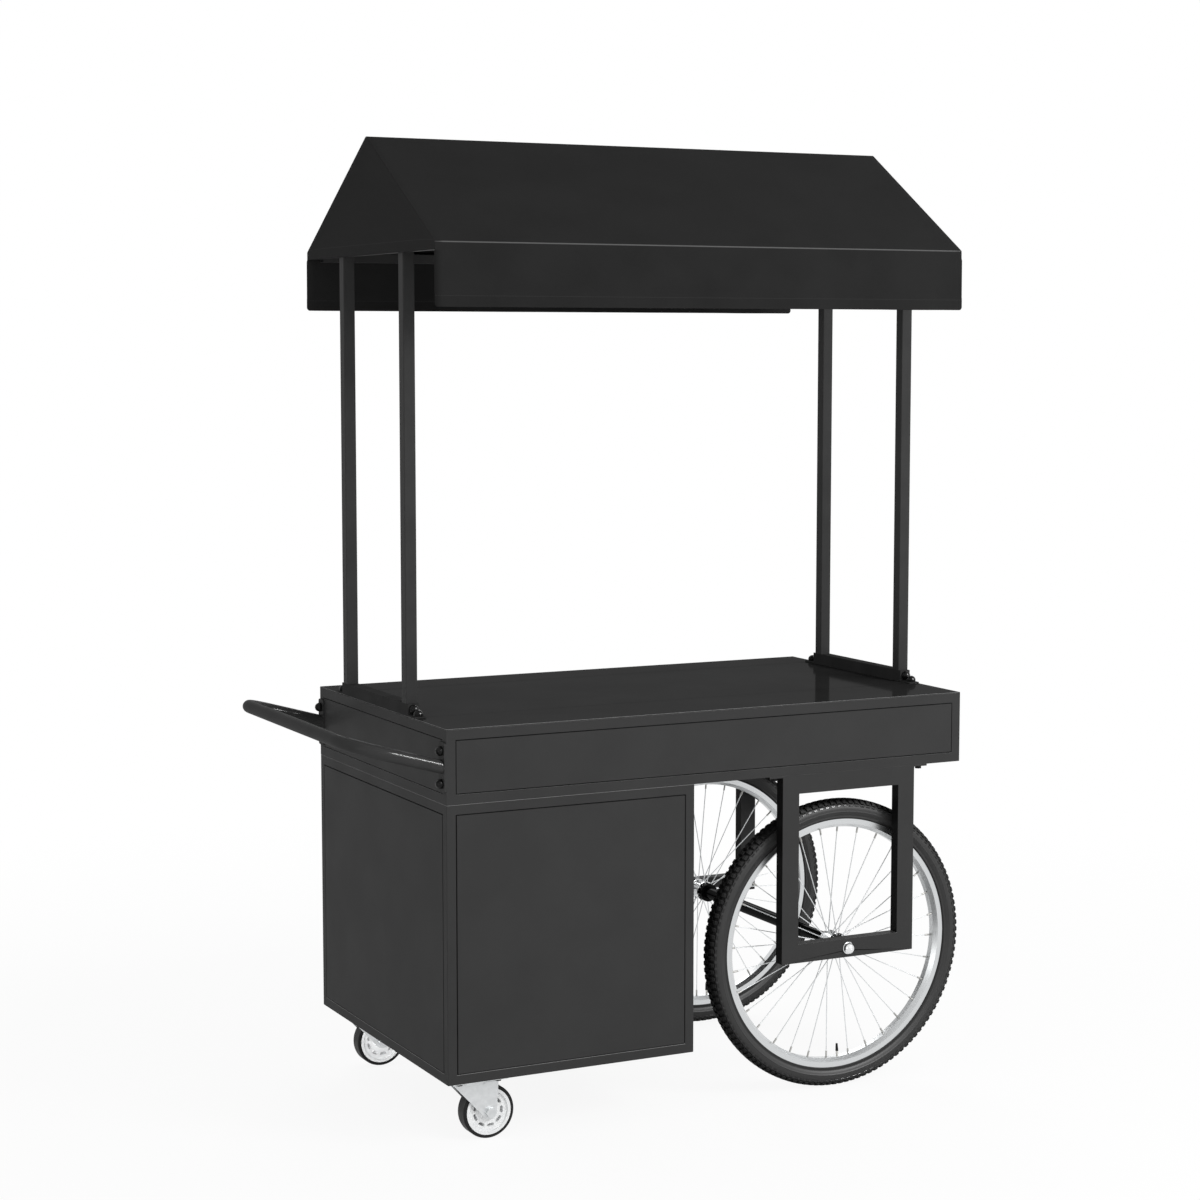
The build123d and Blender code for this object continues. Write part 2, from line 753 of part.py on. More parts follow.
nut_r = axle_nut_d / 2
nut_curve_r = (nut_r**2 + axle_nut_dome**2) / (2 * axle_nut_dome)
nut_skirt_top = axle_washer + axle_nut_skirt
with BuildPart() as axle_nut:
    with BuildSketch(Plane.XZ):
        with BuildLine():
            Polyline((0, 0), (axle_washer_d / 2, 0), (axle_washer_d / 2, axle_washer), (nut_r, axle_washer))
            Line((nut_r, axle_washer), (nut_r, nut_skirt_top))
            RadiusArc((nut_r, nut_skirt_top), (0, nut_skirt_top + axle_nut_dome), -nut_curve_r)
            Line((0, nut_skirt_top + axle_nut_dome), (0, 0))
        make_face()
    revolve(axis=Axis.Z)
    Cylinder((axle_d + axle_fit) / 2, axle_washer + axle_nut_bore, align=upwards, mode=Mode.SUBTRACT)
with BuildPart() as axle_nuts:
    with Locations(
        seat(wheel_x, -side_y, wheel_r, (0, -1, 0)),
        seat(wheel_x, side_y, wheel_r, (0, 1, 0)),
    ):
        add(axle_nut.part)
save(axle_nuts, "axle_nuts")

# Spoked wheels: sections drawn as (radius, offset along the axle) and turned about the axle
bead_outer = rim_channel_half - bead_fit
bead_bottom = rim_well_r + bead_fit
bead_inner = bead_outer - bead_width
bead_top = tyre_centre_r - sqrt((tyre_half - tyre_wall) ** 2 - bead_inner**2)
bead_middle = (bead_bottom + bead_top) / 2
inner_tube_half = tyre_half - tyre_wall - tyre_fit
valve_tip_r = rim_inner_r - valve_length
valve_cap_r = valve_tip_r + valve_cap
valve_root_r = tyre_centre_r - inner_tube_half + 0.75 * inner_tube_wall
rim_cavity_half = rim_channel_half - rim_wall / 2
rim_cavity_inner_half = rim_inner_width / 2 - rim_wall / 2
hub_bore_r = (axle_d + axle_fit) / 2
spoke_count = 4 * spokes_per_face
spoke_step = 360 / spoke_count
spoke_rim_r = rim_inner_r - spoke_rim_gap
spoke_offset = hub_flange / 2 + spoke_d / 2 + spoke_flange_play


def on_wheel(radius, angle, y):
    """A point of a wheel at a radius, an angle and a place along the axle, with the wheel turned."""
    turn = radians(angle + wheel_turn)
    return Vector(wheel_x + radius * cos(turn), y, wheel_r + radius * sin(turn))


def facing_axle(radius, angle, y):
    """A plane at a point of a wheel that faces the axle."""
    point = on_wheel(radius, angle, y)
    return Plane(point, z_dir=on_wheel(0, angle, y) - point)


for side, outwards in {"front": -1, "rear": 1}.items():
    centre_y = outwards * wheel_y
    section = Plane((wheel_x, centre_y, wheel_r))

    with BuildPart() as tyre:
        with BuildSketch(section):
            with Locations((tyre_centre_r, 0)):
                Circle(tyre_half)
            with Locations((wheel_r - tread_depth / 2, 0)):
                RectangleRounded(tread_depth, tread_width, tread_corner)
            with Locations((tyre_centre_r, 0)):
                Circle(tyre_half - tyre_wall, mode=Mode.SUBTRACT)
            with Locations((bead_middle, 0)):
                Rectangle(bead_top - bead_bottom, 2 * bead_outer)
                Rectangle(bead_top - bead_bottom, 2 * bead_inner, mode=Mode.SUBTRACT)
        revolve(axis=axle_line)
    save(tyre, f"{side}_tyre")

    with BuildPart() as inner_tube:
        with BuildSketch(facing_axle(valve_tip_r, -90, centre_y)):
            Circle(valve_tip_d / 2)
        with BuildSketch(facing_axle(valve_cap_r, -90, centre_y)):
            Circle(valve_cap_d / 2)
        loft()
        with BuildSketch(facing_axle(valve_cap_r, -90, centre_y)):
            Circle(valve_d / 2)
        extrude(amount=valve_cap_r - valve_root_r)
        with BuildSketch(section):
            with Locations((tyre_centre_r, 0)):
                Circle(inner_tube_half)
                Circle(inner_tube_half - inner_tube_wall, mode=Mode.SUBTRACT)
        revolve(axis=axle_line)
    save(inner_tube, f"{side}_inner_tube")

    with BuildPart() as rim:
        with BuildSketch(section):
            Polygon(
                (rim_hook_r, rim_half),
                (rim_shoulder_r, rim_half),
                (rim_inner_r, rim_inner_width / 2),
                (rim_inner_r, -rim_inner_width / 2),
                (rim_shoulder_r, -rim_half),
                (rim_hook_r, -rim_half),
                (rim_hook_r, -rim_channel_half),
                (rim_well_r, -rim_channel_half),
                (rim_well_r, rim_channel_half),
                (rim_hook_r, rim_channel_half),
                align=None,
            )
            Polygon(
                (rim_well_r - rim_wall, rim_cavity_half),
                (rim_shoulder_r, rim_cavity_half),
                (rim_inner_r + rim_wall, rim_cavity_inner_half),
                (rim_inner_r + rim_wall, -rim_cavity_inner_half),
                (rim_shoulder_r, -rim_cavity_half),
                (rim_well_r - rim_wall, -rim_cavity_half),
                align=None,
                mode=Mode.SUBTRACT,
            )
        revolve(axis=axle_line)
        with BuildSketch(facing_axle(rim_hook_r, -90, centre_y)):
            Circle((valve_d + valve_hole_play) / 2)
        extrude(amount=rim_height + rim_wall, mode=Mode.SUBTRACT)
    save(rim, f"{side}_rim")

    spoke_starts = []
    spoke_elbows = []
    for flange_side in (-1, 1):
        for lean in (-1, 1):
            spoke_y = centre_y + flange_side * hub_flange_spacing / 2 + lean * spoke_offset
            rim_y = centre_y + flange_side * spoke_spread + lean * spoke_offset
            for index in range(spokes_per_face):
                angle = (4 * index + 2 + lean + flange_side / 2) * spoke_step
                start = on_wheel(spoke_circle_d / 2, angle, spoke_y)
                end = on_wheel(spoke_rim_r, angle, rim_y)
                spoke_starts.append(Plane(start, z_dir=end - start))
                elbow = on_wheel(spoke_circle_d / 2, angle, spoke_y + lean * spoke_d / 2)
                spoke_elbows.append(Plane(elbow, z_dir=(0, -lean, 0)))
                spoke_length = (end - start).length
    with BuildPart() as spokes:
        with BuildSketch(*spoke_starts):
            Circle(spoke_d / 2)
        extrude(amount=spoke_length)
        with BuildSketch(*[plane.offset(spoke_length - nipple_length) for plane in spoke_starts]):
            Circle(nipple_d / 2)
        extrude(amount=nipple_length)
        with BuildSketch(*spoke_elbows):
            Circle(spoke_elbow_d / 2)
        extrude(amount=spoke_offset + spoke_d / 2 + hub_flange / 2)
    save(spokes, f"{side}_spokes")

    hub_middle = outwards * (hub_outer - hub_inner) / 2
    with BuildPart() as hub:
        with BuildSketch(section):
            with Locations((hub_end_d / 4, hub_middle)):
                Rectangle(hub_end_d / 2, hub_width - 2 * hub_play)
            with Locations((hub_barrel_d / 4, 0)):
                Rectangle(hub_barrel_d / 2, hub_flange_spacing)
            with Locations((hub_flange_d / 4, 0)):
                with GridLocations(0, hub_flange_spacing, 1, 2):
                    Rectangle(hub_flange_d / 2, hub_flange)
            with Locations((hub_bore_r / 2, hub_middle)):
                Rectangle(hub_bore_r, hub_width, mode=Mode.SUBTRACT)
        revolve(axis=axle_line)
        with BuildSketch(*spoke_elbows):
            Circle((spoke_elbow_d + spoke_hole_play) / 2)
        extrude(amount=hub_flange + spoke_d + spoke_offset, mode=Mode.SUBTRACT)
    save(hub, f"{side}_hub")

# Swivel casters: a bolted plate with its kingpin, and a pressed fork that trails its wheel
race_top = race_z + (race_height - race_gap) / 2
race_bottom = race_z + (race_height + race_gap) / 2
kingpin_bottom = fork_crown_z - race_gap - kingpin_head
leg_inner = fork_hub_width / 2 + caster_side_play
leg_outer = leg_inner + fork_sheet
fork_middle = (fork_front - fork_back) / 2
caster_bore_r = (caster_axle_d + caster_axle_fit) / 2
core_r = caster_radius - caster_tyre - caster_tyre_fit
slot_circle_r = (core_r - caster_core_rim + caster_hub_d / 2) / 2
for side, centre_y in {"front": -caster_y, "rear": caster_y}.items():
    with BuildPart() as plate:
        with BuildSketch(Plane.XY.offset(caster_plate_z)):
            with Locations((caster_x, centre_y)):
                RectangleRounded(caster_plate_length, caster_plate_width, caster_plate_corner)
        extrude(amount=caster_plate)
        for diameter, bottom, top in (
            (race_d, race_bottom, caster_plate_z),
            (kingpin_d, kingpin_bottom, race_bottom),
            (kingpin_head_d, kingpin_bottom, kingpin_bottom + kingpin_head),
        ):
            with BuildSketch(Plane.XY.offset(bottom)):
                with Locations((caster_x, centre_y)):
                    Circle(diameter / 2)
            extrude(amount=top - bottom)
        with Locations(*caster_seats):
            Cylinder(bolt_hole_r, caster_plate, align=downwards, mode=Mode.SUBTRACT)
    save(plate, f"{side}_caster_plate")

    with BuildPart() as fork:
        with BuildSketch(Plane.XY.offset(fork_crown_z)):
            with Locations((caster_x + fork_middle, centre_y)):
                Rectangle(fork_front + fork_back, 2 * leg_outer)
            with Locations((caster_x, centre_y)):
                Circle(race_d / 2)
        extrude(amount=fork_sheet)
        with BuildSketch(Plane.XY.offset(race_z)):
            with Locations((caster_x, centre_y)):
                Circle(race_d / 2)
        extrude(amount=race_top - race_z)
        with BuildSketch(
            Plane.XZ.offset(leg_inner - centre_y),
            Plane.XZ.offset(-leg_outer - centre_y),
        ):
            with Locations((caster_x + fork_middle, fork_crown_z + fork_sheet / 2)):
                Rectangle(fork_front + fork_back, fork_sheet)
            with Locations((caster_axle_x, caster_radius)):
                Circle(fork_boss_d / 2)
            make_hull()
        extrude(amount=fork_sheet)
        with Locations((caster_axle_x, centre_y, caster_radius)):
            Cylinder(caster_bore_r, 2 * leg_outer, rotation=(90, 0, 0), mode=Mode.SUBTRACT)
        with Locations((caster_x, centre_y, fork_crown_z)):
            Cylinder((kingpin_d + kingpin_fit) / 2, race_height, align=upwards, mode=Mode.SUBTRACT)
    save(fork, f"{side}_caster_fork")

    with BuildPart() as caster_axle:
        with BuildSketch(Plane.XZ.offset(-leg_outer - centre_y)):
            with Locations((caster_axle_x, caster_radius)):
                Circle(caster_axle_d / 2)
        extrude(amount=2 * leg_outer)
        with BuildSketch(
            Plane.XZ.offset(leg_outer - centre_y),
            Plane.XZ.offset(-leg_outer - caster_axle_nut - centre_y),
        ):
            with Locations((caster_axle_x, caster_radius)):
                RegularPolygon(caster_axle_nut_flats / 2, 6, major_radius=False)
        extrude(amount=caster_axle_nut)
    save(caster_axle, f"{side}_caster_axle")

    caster_section = Plane((caster_axle_x, centre_y, caster_radius))
    caster_line = Axis((caster_axle_x, centre_y, caster_radius), (0, 1, 0))
    with BuildPart() as core:
        with BuildSketch(caster_section):
            with Locations((caster_hub_d / 4, 0)):
                Rectangle(caster_hub_d / 2, fork_hub_width)
            with Locations((core_r / 2, 0)):
                Rectangle(core_r, caster_web)
            with Locations((core_r - caster_core_rim / 2, 0)):
                Rectangle(caster_core_rim, caster_wheel_width)
            with Locations((caster_bore_r / 2, 0)):
                Rectangle(caster_bore_r, fork_hub_width, mode=Mode.SUBTRACT)
        revolve(axis=caster_line)
        with BuildSketch(Plane.XZ.offset(-centre_y)):
            with Locations((caster_axle_x, caster_radius)):
                with PolarLocations(slot_circle_r, caster_slots):
                    SlotOverall(caster_slot_length, caster_slot_width, rotation=90)
        extrude(amount=caster_web, both=True, mode=Mode.SUBTRACT)
    save(core, f"{side}_caster_core")

    with BuildPart() as caster_tread:
        with BuildSketch(caster_section) as tread_section:
            with Locations((caster_radius - caster_tyre / 2, 0)):
                Rectangle(caster_tyre, caster_wheel_width)
            fillet(tread_section.vertices().group_by(Axis.X)[-1], caster_tyre_edge)
        revolve(axis=caster_line)
    save(caster_tread, f"{side}_caster_tyre")
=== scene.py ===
from math import pi, radians

import bmesh
import bpy
import numpy as np
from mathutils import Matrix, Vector


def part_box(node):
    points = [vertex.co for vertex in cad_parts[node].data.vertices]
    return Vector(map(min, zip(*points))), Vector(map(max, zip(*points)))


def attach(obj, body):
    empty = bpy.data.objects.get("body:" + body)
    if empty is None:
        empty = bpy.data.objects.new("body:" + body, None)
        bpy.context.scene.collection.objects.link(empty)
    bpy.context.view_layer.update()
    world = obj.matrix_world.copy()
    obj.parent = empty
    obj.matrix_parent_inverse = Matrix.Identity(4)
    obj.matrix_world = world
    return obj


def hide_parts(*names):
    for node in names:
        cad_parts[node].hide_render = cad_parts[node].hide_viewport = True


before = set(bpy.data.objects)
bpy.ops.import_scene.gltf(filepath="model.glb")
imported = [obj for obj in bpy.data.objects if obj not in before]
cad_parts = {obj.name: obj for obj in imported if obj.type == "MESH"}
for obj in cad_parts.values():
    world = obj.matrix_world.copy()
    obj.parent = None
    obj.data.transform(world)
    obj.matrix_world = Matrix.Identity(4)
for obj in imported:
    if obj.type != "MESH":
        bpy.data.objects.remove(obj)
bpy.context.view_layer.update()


# Table box and cabinet: welded square steel tube, with pressed sheet trays set flush between the
# rails. All of it is powder coated in one satin black after welding. The frames' upper edges are
# painted paler, a painted highlight; each tray's rounded edge is painted near black, a painted shade
# in the gap round it.

def linear(code):
    """An sRGB hex colour as linear light: c / 12.92 for a dark channel c, else
    ((c + 0.055) / 1.055) to the power 2.4."""
    channel = np.array([int(code[place:place + 2], 16) / 255 for place in (1, 3, 5)])
    light = np.where(channel > 0.04045, ((channel + 0.055) / 1.055) ** 2.4, channel / 12.92)
    return (*light.tolist(), 1.0)


def add(tree, kind, feeds=None, **settings):
    """Add one node. The settings are its own properties; feeds gives, by an input's name or
    number, a value to set there or the output of another node to link there."""
    node = tree.nodes.new(kind)
    for name, value in settings.items():
        setattr(node, name, value)
    for place, value in (feeds or {}).items():
        if isinstance(value, bpy.types.NodeSocket):
            tree.links.new(value, node.inputs[place])
        else:
            node.inputs[place].default_value = value
    return node


def calculate(tree, operation, *values):
    """The result of one Math node, whose inputs take the values in order."""
    return add(tree, "ShaderNodeMath", dict(enumerate(values)), operation=operation).outputs[0]


def remap(tree, value, start, end, first=0.0, last=1.0):
    """Carry the range from start to end over to the range from first to last:
    first + (last - first) * (value - start) / (end - start), held between first and last."""
    feeds = {0: value, 1: start, 2: end, 3: first, 4: last}
    return add(tree, "ShaderNodeMapRange", feeds).outputs[0]


def mix_colours(tree, share, first, second):
    """A colour between two: first * (1 - share) + second * share."""
    return add(tree, "ShaderNodeMix", {0: share, 6: first, 7: second}, data_type="RGBA").outputs[2]


def noise(tree, where, patch, detail=2.0):
    """Smooth noise from 0 to 1 with patches of the given size in metres; the detail is the number
    of finer layers laid over it, each with half the patch and half the height."""
    feeds = {"Vector": where, "Scale": 1 / patch, "Detail": detail}
    return add(tree, "ShaderNodeTexNoise", feeds).outputs[0]


def shader_input(material, socket):
    """An input of the material's Principled shader, with underscores for the spaces in its name."""
    return material.node_tree.nodes["Principled BSDF"].inputs[socket.replace("_", " ")]


def drive(material, output, socket):
    """Let the output of a node feed an input of the material's shader."""
    material.node_tree.links.new(output, shader_input(material, socket))


def new_finish(name, **constants):
    """A material with one Principled shader. The constants go straight onto the shader's inputs."""
    material = bpy.data.materials.new(name)
    material.use_nodes = True
    for socket, value in constants.items():
        shader_input(material, socket).default_value = value
    return material


# most of the noise lies between these two values
noise_low, noise_high = 0.35, 0.65


def mottle(material, colours, patch, roughness, coordinates=None):
    """Let the colour and the roughness each drift between two values over patches of the given
    size in metres: the values are mixed by the middle range of smooth noise."""
    tree = material.node_tree
    where = coordinates or add(tree, "ShaderNodeTexCoord").outputs["Object"]
    cloud = noise(tree, where, patch, 3.0)
    share = remap(tree, cloud, noise_low, noise_high)
    drive(material, mix_colours(tree, share, linear(colours[0]), linear(colours[1])), "Base_Color")
    drive(material, remap(tree, cloud, noise_low, noise_high, *roughness), "Roughness")
    return where


def grain(material, where, pitch, depth):
    """Raise the surface by smooth noise: bumps as far apart as the pitch and as high as the
    depth, both in metres."""
    tree = material.node_tree
    feeds = {"Height": noise(tree, where, pitch), "Distance": depth, "Strength": 1.0}
    drive(material, add(tree, "ShaderNodeBump", feeds).outputs[0], "Normal")


def plain_finish(name, colours, patch, roughness, pitch, depth, **constants):
    """A finish whose colour and roughness drift over patches, with a grain of the given pitch and
    depth; patch, pitch and depth are in metres."""
    material = new_finish(name, **constants)
    grain(material, mottle(material, colours, patch, roughness), pitch, depth)
    return material


def recolour(material, share, hue):
    """Mix another hue into the material's base colour by a share from 0 to 1."""
    colour = shader_input(material, "Base_Color").links[0].from_socket
    drive(material, mix_colours(material.node_tree, share, colour, linear(hue)), "Base_Color")


def tint_edges(material, hue, lowest):
    """Give rounded edges another hue. The share is the product of two parts, each held between 0
    and 1: how far the largest part of the piece's own normal is below 1, which is 0 on a face square
    to an axis and 0.29 halfway round an edge, divided by 0.2; and how far the normal's upward part is
    above the lowest value, divided by 0.4."""
    tree = material.node_tree
    normal = add(tree, "ShaderNodeTexCoord").outputs["Normal"]
    upward = add(tree, "ShaderNodeSeparateXYZ", {0: normal}).outputs[2]
    size = add(tree, "ShaderNodeVectorMath", {0: normal}, operation="ABSOLUTE").outputs[0]
    parts = add(tree, "ShaderNodeSeparateXYZ", {0: size}).outputs
    largest = calculate(tree, "MAXIMUM", calculate(tree, "MAXIMUM", parts[0], parts[1]), parts[2])
    turned = remap(tree, largest, 1.0, 1.0 - 0.2)
    upper = remap(tree, upward, lowest, lowest + 0.4)
    recolour(material, calculate(tree, "MULTIPLY", turned, upper), hue)


def dress(material, *names):
    """Give CAD nodes a finish in every one of their material slots."""
    for name in names:
        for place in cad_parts[name].material_slots:
            place.material = material


# points closer together than this are one point
weld_distance = 1e-5


def round_edges(radius, *names):
    """Round a CAD node's sharp edges: its loose triangles are welded, and each edge that turns
    by more than 35 degrees becomes a two-step arc of the given radius."""
    for name in names:
        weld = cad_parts[name].modifiers.new("weld", "WELD")
        weld.merge_threshold = weld_distance
        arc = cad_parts[name].modifiers.new("edge", "BEVEL")
        arc.width = radius
        arc.segments = 2
        arc.limit_method = "ANGLE"
        arc.angle_limit = radians(35)
        arc.harden_normals = True


# lowest upward part of the normal where an edge is tinted: edges that face up, or every edge
upper_edges, all_edges = 0.1, -2.0
# a pale hue painted on upper edges as a painted highlight, and a near-black hue painted round the trays'
# edges as painted shade in the gaps
painted_highlight_hue, painted_gap_shade_hue = "#949494", "#0c0c0c"


def coated_steel(name, edge_hue, lowest):
    """Polyester powder coat, baked on: satin, even in colour, with a faint orange peel. The peel's
    bumps are about 1.5 mm apart and are drawn at 4 mm so that they show. Its edges are painted in
    edge_hue, as a painted highlight or a painted shade."""
    coat = plain_finish(name, ("#393939", "#3b3b3b"), patch=0.110, roughness=(0.46, 0.56),
                        pitch=0.004, depth=0.00004, IOR=1.5, Specular_IOR_Level=0.02,
                        Coat_Weight=0.02, Coat_Roughness=0.20)
    tint_edges(coat, edge_hue, lowest)
    return coat


steel_frames = ["table_frame", "cabinet_frame"]
steel_trays = ["table_front_panel", "table_rear_panel", "table_left_panel", "table_right_panel",
               "cabinet_front_panel", "cabinet_left_panel", "cabinet_right_panel"]
# frames get a painted highlight on their upper edges; trays get painted shade, near black, round their
# edges
powder_coat = coated_steel("satin_black_powder_coat", painted_highlight_hue, upper_edges)
gap_shaded_coat = coated_steel("gap_shaded_black_powder_coat", painted_gap_shade_hue, all_edges)
dress(powder_coat, *steel_frames, "cabinet_floor")
dress(gap_shaded_coat, *steel_trays)
round_edges(0.0012, *steel_frames)
round_edges(0.0014, *steel_trays)


# Tabletop: a 2 mm steel sheet on the table frame, sprayed with the same black and then lacquered,
# so it is smoother than the frame and mirrors the posts faintly.

# acrylic lacquer over black paint: nearly flat, with a low wide ripple from spraying; its upper
# edges are painted pale, a painted highlight along the sheet's edge
lacquered_top = plain_finish("lacquered_black_top", ("#242424", "#282828"), patch=0.160,
                             roughness=(0.55, 0.62), pitch=0.018, depth=0.00002, IOR=1.5,
                             Specular_IOR_Level=0.0, Coat_Weight=0.052, Coat_Roughness=0.09)
tint_edges(lacquered_top, "#b0b0b0", upper_edges)
dress(lacquered_top, "tabletop")
round_edges(0.0007, "tabletop")


# Cabinet doors at the back: two sheet trays on butt hinges, with turned knobs and a magnetic
# catch between them. The hinge leaves are coated like the doors, and two screws hold each one.

def grid_faces(rows, columns, wrap=False):
    """Corner numbers of the quads between neighbouring points of a grid kept row after row; with
    wrap the last row and column join the first."""
    number = np.arange(rows * columns).reshape(rows, columns)
    if wrap:
        number = np.pad(number, ((0, 1), (0, 1)), mode="wrap")
    corners = [number[:-1, :-1], number[1:, :-1], number[1:, 1:], number[:-1, 1:]]
    return np.stack(corners, axis=-1).reshape(-1, 4)


def new_piece(name, body, material, points, faces):
    """Put arrays of points and quads into a mesh object that rides on a body."""
    mesh = bpy.data.meshes.new(name)
    mesh.from_pydata(points.reshape(-1, 3), [], faces)
    mesh.shade_smooth()
    mesh.materials.append(material)
    piece = bpy.data.objects.new(name, mesh)
    bpy.context.scene.collection.objects.link(piece)
    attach(piece, body)
    return piece


# zinc-plated steel: a pale grey metal with a soft crystalline bloom
zinc_plate = plain_finish("zinc_plated_steel", ("#d2d4d5", "#dcdedf"), patch=0.012,
                          roughness=(0.42, 0.48), pitch=0.003, depth=0.00001, Metallic=1.0)
# moulded ABS: dull black with a fine spark-eroded grain
black_plastic = plain_finish("moulded_black_plastic", ("#191919", "#202020"), patch=0.020,
                             roughness=(0.42, 0.52), pitch=0.0012, depth=0.00004,
                             IOR=1.5, Specular_IOR_Level=0.25)
doors = ["left_door", "right_door"]
dress(powder_coat, *doors, "left_door_hinge_leaves", "right_door_hinge_leaves", "frame_hinge_leaves")
dress(zinc_plate, "hinge_pins")
dress(black_plastic, "left_door_knob", "right_door_knob", "door_catch")
round_edges(0.0008, *doors, "door_catch")

# a screw's button head with a hexagon socket, as rings of 24 points: share of the radius and of the
# height, from the middle of its foot over the rim, then down to the middle of the socket
head_radius, head_height = 0.0032, 0.0012
outer_rings = [(0.01, 0.0), (1.0, 0.0), (1.0, 0.30), (0.90, 0.70), (0.70, 0.94), (0.50, 1.0)]
socket_rings = [(0.40, 1.0), (0.40, 0.35), (0.01, 0.35)]
head_rings = np.array(outer_rings + socket_rings)
in_socket = np.arange(len(head_rings))[:, None] >= len(outer_rings)
ring_turn = np.radians(np.arange(0, 360, 15))
# a hexagon's reach as a share of its corners': cos 30° / cos of the turn from the middle of a flat
hexagon = np.cos(radians(30)) / np.cos((ring_turn + radians(30)) % radians(60) - radians(30))
ring_reach = head_radius * head_rings[:, :1] * np.where(in_socket, hexagon, 1.0)
head = np.stack([ring_reach * np.cos(ring_turn), 0 * ring_reach + head_height * head_rings[:, 1:],
                 ring_reach * np.sin(ring_turn)], axis=-1)
head_faces = grid_faces(len(head_rings), len(ring_turn), wrap=True)

# the screws stand on the leaves' outer sides, at these distances from a leaf's ends and long edge
leaf_sheet, leaf_height = 0.0015, 0.060
from_end, from_side = 0.015, 0.0065
low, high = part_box("frame_hinge_leaves")
heights = [low.z + from_end, low.z + leaf_height - from_end,
           high.z - leaf_height + from_end, high.z - from_end]
screw_columns = {"cart": (low.x + from_side, high.x - from_side),
                 "left_door": (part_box("left_door_hinge_leaves")[1].x - from_side,),
                 "right_door": (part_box("right_door_hinge_leaves")[0].x + from_side,)}
for body, places in screw_columns.items():
    spots = np.array([(x, low.y + leaf_sheet, z) for x in places for z in heights])
    points = spots[:, None, None] + head
    faces = np.arange(len(spots))[:, None, None] * ring_reach.size + head_faces
    new_piece(f"{body}_hinge_screws", body, zinc_plate, points, faces.reshape(-1, 4))


# Push handle: one bent round tube with a flange welded on at each end, bolted to the table's end
# by cap bolts. It is sprayed in gloss black, which shows narrow white streaks along the tube.

# stoving enamel: smooth and even, with a thin gloss and a slight ripple along the tube
smooth_enamel = plain_finish("smooth_black_enamel", ("#373737", "#3b3b3b"), patch=0.060,
                             roughness=(0.38, 0.44), pitch=0.009, depth=0.00002, IOR=1.5,
                             Specular_IOR_Level=0.0, Coat_Weight=0.09, Coat_Roughness=0.12)
# black-oxide steel of the bolts, oiled: darker than the paint, with small bright glints
black_oxide = plain_finish("oiled_black_oxide", ("#121212", "#181818"), patch=0.010,
                           roughness=(0.24, 0.32), pitch=0.002, depth=0.00002, IOR=1.5,
                           Specular_IOR_Level=0.08, Coat_Weight=0.06, Coat_Roughness=0.08)
dress(smooth_enamel, "handle")
dress(black_oxide, "dome_bolts")


# Canopy posts: four square tubes that stand on a foot bar at each end of the table. Angle
# brackets at the bars' ends are bolted through bar and tabletop.

# the same powder coat on drawn tube, whose round corners aren't rubbed
tube_coat = plain_finish("satin_black_tube_coat", ("#393939", "#3d3d3d"), patch=0.080,
                         roughness=(0.42, 0.50), pitch=0.004, depth=0.00004, IOR=1.5,
                         Specular_IOR_Level=0.02, Coat_Weight=0.01, Coat_Roughness=0.18)
# chassis paint on the feet, brushed on: matt, and darker than the posts
chassis_paint = plain_finish("matt_black_chassis_paint", ("#343434", "#3a3a3a"), patch=0.050,
                             roughness=(0.60, 0.70), pitch=0.004, depth=0.00005,
                             IOR=1.5, Specular_IOR_Level=0.0)
dress(tube_coat, "front_left_post", "rear_left_post", "front_right_post", "rear_right_post")
dress(chassis_paint, "foot_bars", "foot_brackets")
round_edges(0.0007, "foot_bars", "foot_brackets")


# Canopy frame: a triangle of square tube on each pair of posts, with a ridge tube and two eave
# tubes welded between the triangles. The cover hides it from outside.

canopy_frame = ["left_gable_frame", "right_gable_frame", "ridge_tube", "eave_tubes"]
dress(tube_coat, *canopy_frame)
round_edges(0.0010, *canopy_frame)


# Canopy cover: one sheet of coated polyester, cut with two gables and a valance along each long
# side, pulled tight over the canopy frame. The hems are turned up twice and stitched, and a welt is
# sewn along each eave. The valances are cut a little longer than the roof, with round corners.

def step(value, start, end):
    """0 before start, 1 after end, and the smooth cubic 3t² - 2t³ between them."""
    part = np.clip((value - start) / (end - start), 0, 1)
    return part * part * (3 - 2 * part)


# the ridge above the eaves and the gables' hems below them; bends of the cloth at ridge and eaves
roof_rise, gable_drop = 0.224, 0.016
corner_half, corner_run = 0.006, 0.009
# the valances' extra length, the height over which it grows, and their round corners
valance_flare, flare_run, valance_corner = 0.0012, 0.005, 0.007
cloth_thickness, fold_width = 0.0012, 0.003
hem_width, hem_rise, hem_edge = 0.025, 0.0006, 0.0012
welt_rise, welt_half = 0.0012, 0.0024
slope_sag, gable_hollow, valance_wave = 0.0035, 0.0025, 0.0014
# sines of the valances' wave: share of its height, number along X and start in radians
wave_sines = ((1.0, 3.2, 0.6), (0.6, 5.3, 2.1))

low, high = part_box("canopy_cover")
middle_y = (low.y + high.y) / 2
half_span = (high.y - low.y) / 2
eave_z = high.z - roof_rise
valance_drop = eave_z - low.z
slope_length = float(np.hypot(half_span, roof_rise))
girth = 2 * (valance_drop + slope_length)

# the sharp section from the front hem over the ridge to the rear hem, by length along the cloth,
# carried on past both hems so that rounding leaves them in place
spare = 0.02
section_at = np.array([-spare, valance_drop, girth / 2, girth - valance_drop, girth + spare])
section_y = np.array([-half_span, -half_span, 0, half_span, half_span]) + middle_y
section_z = np.array([low.z - spare, eave_z, high.z, eave_z, low.z - spare])
near_hem = np.concatenate([valance_corner * (1 - np.cos(np.linspace(0, pi / 2, 7))),
                           hem_width + 1.25 * hem_edge * np.array([-1, 0, 1]),
                           valance_drop - gable_drop - flare_run * np.linspace(0, 1, 5)])
along = np.concatenate([np.linspace(0, girth, 57), near_hem, girth - near_hem]
                       + [corner + corner_run * np.linspace(-1, 1, 33) for corner in section_at[1:4]])
along = np.unique(along.round(6))
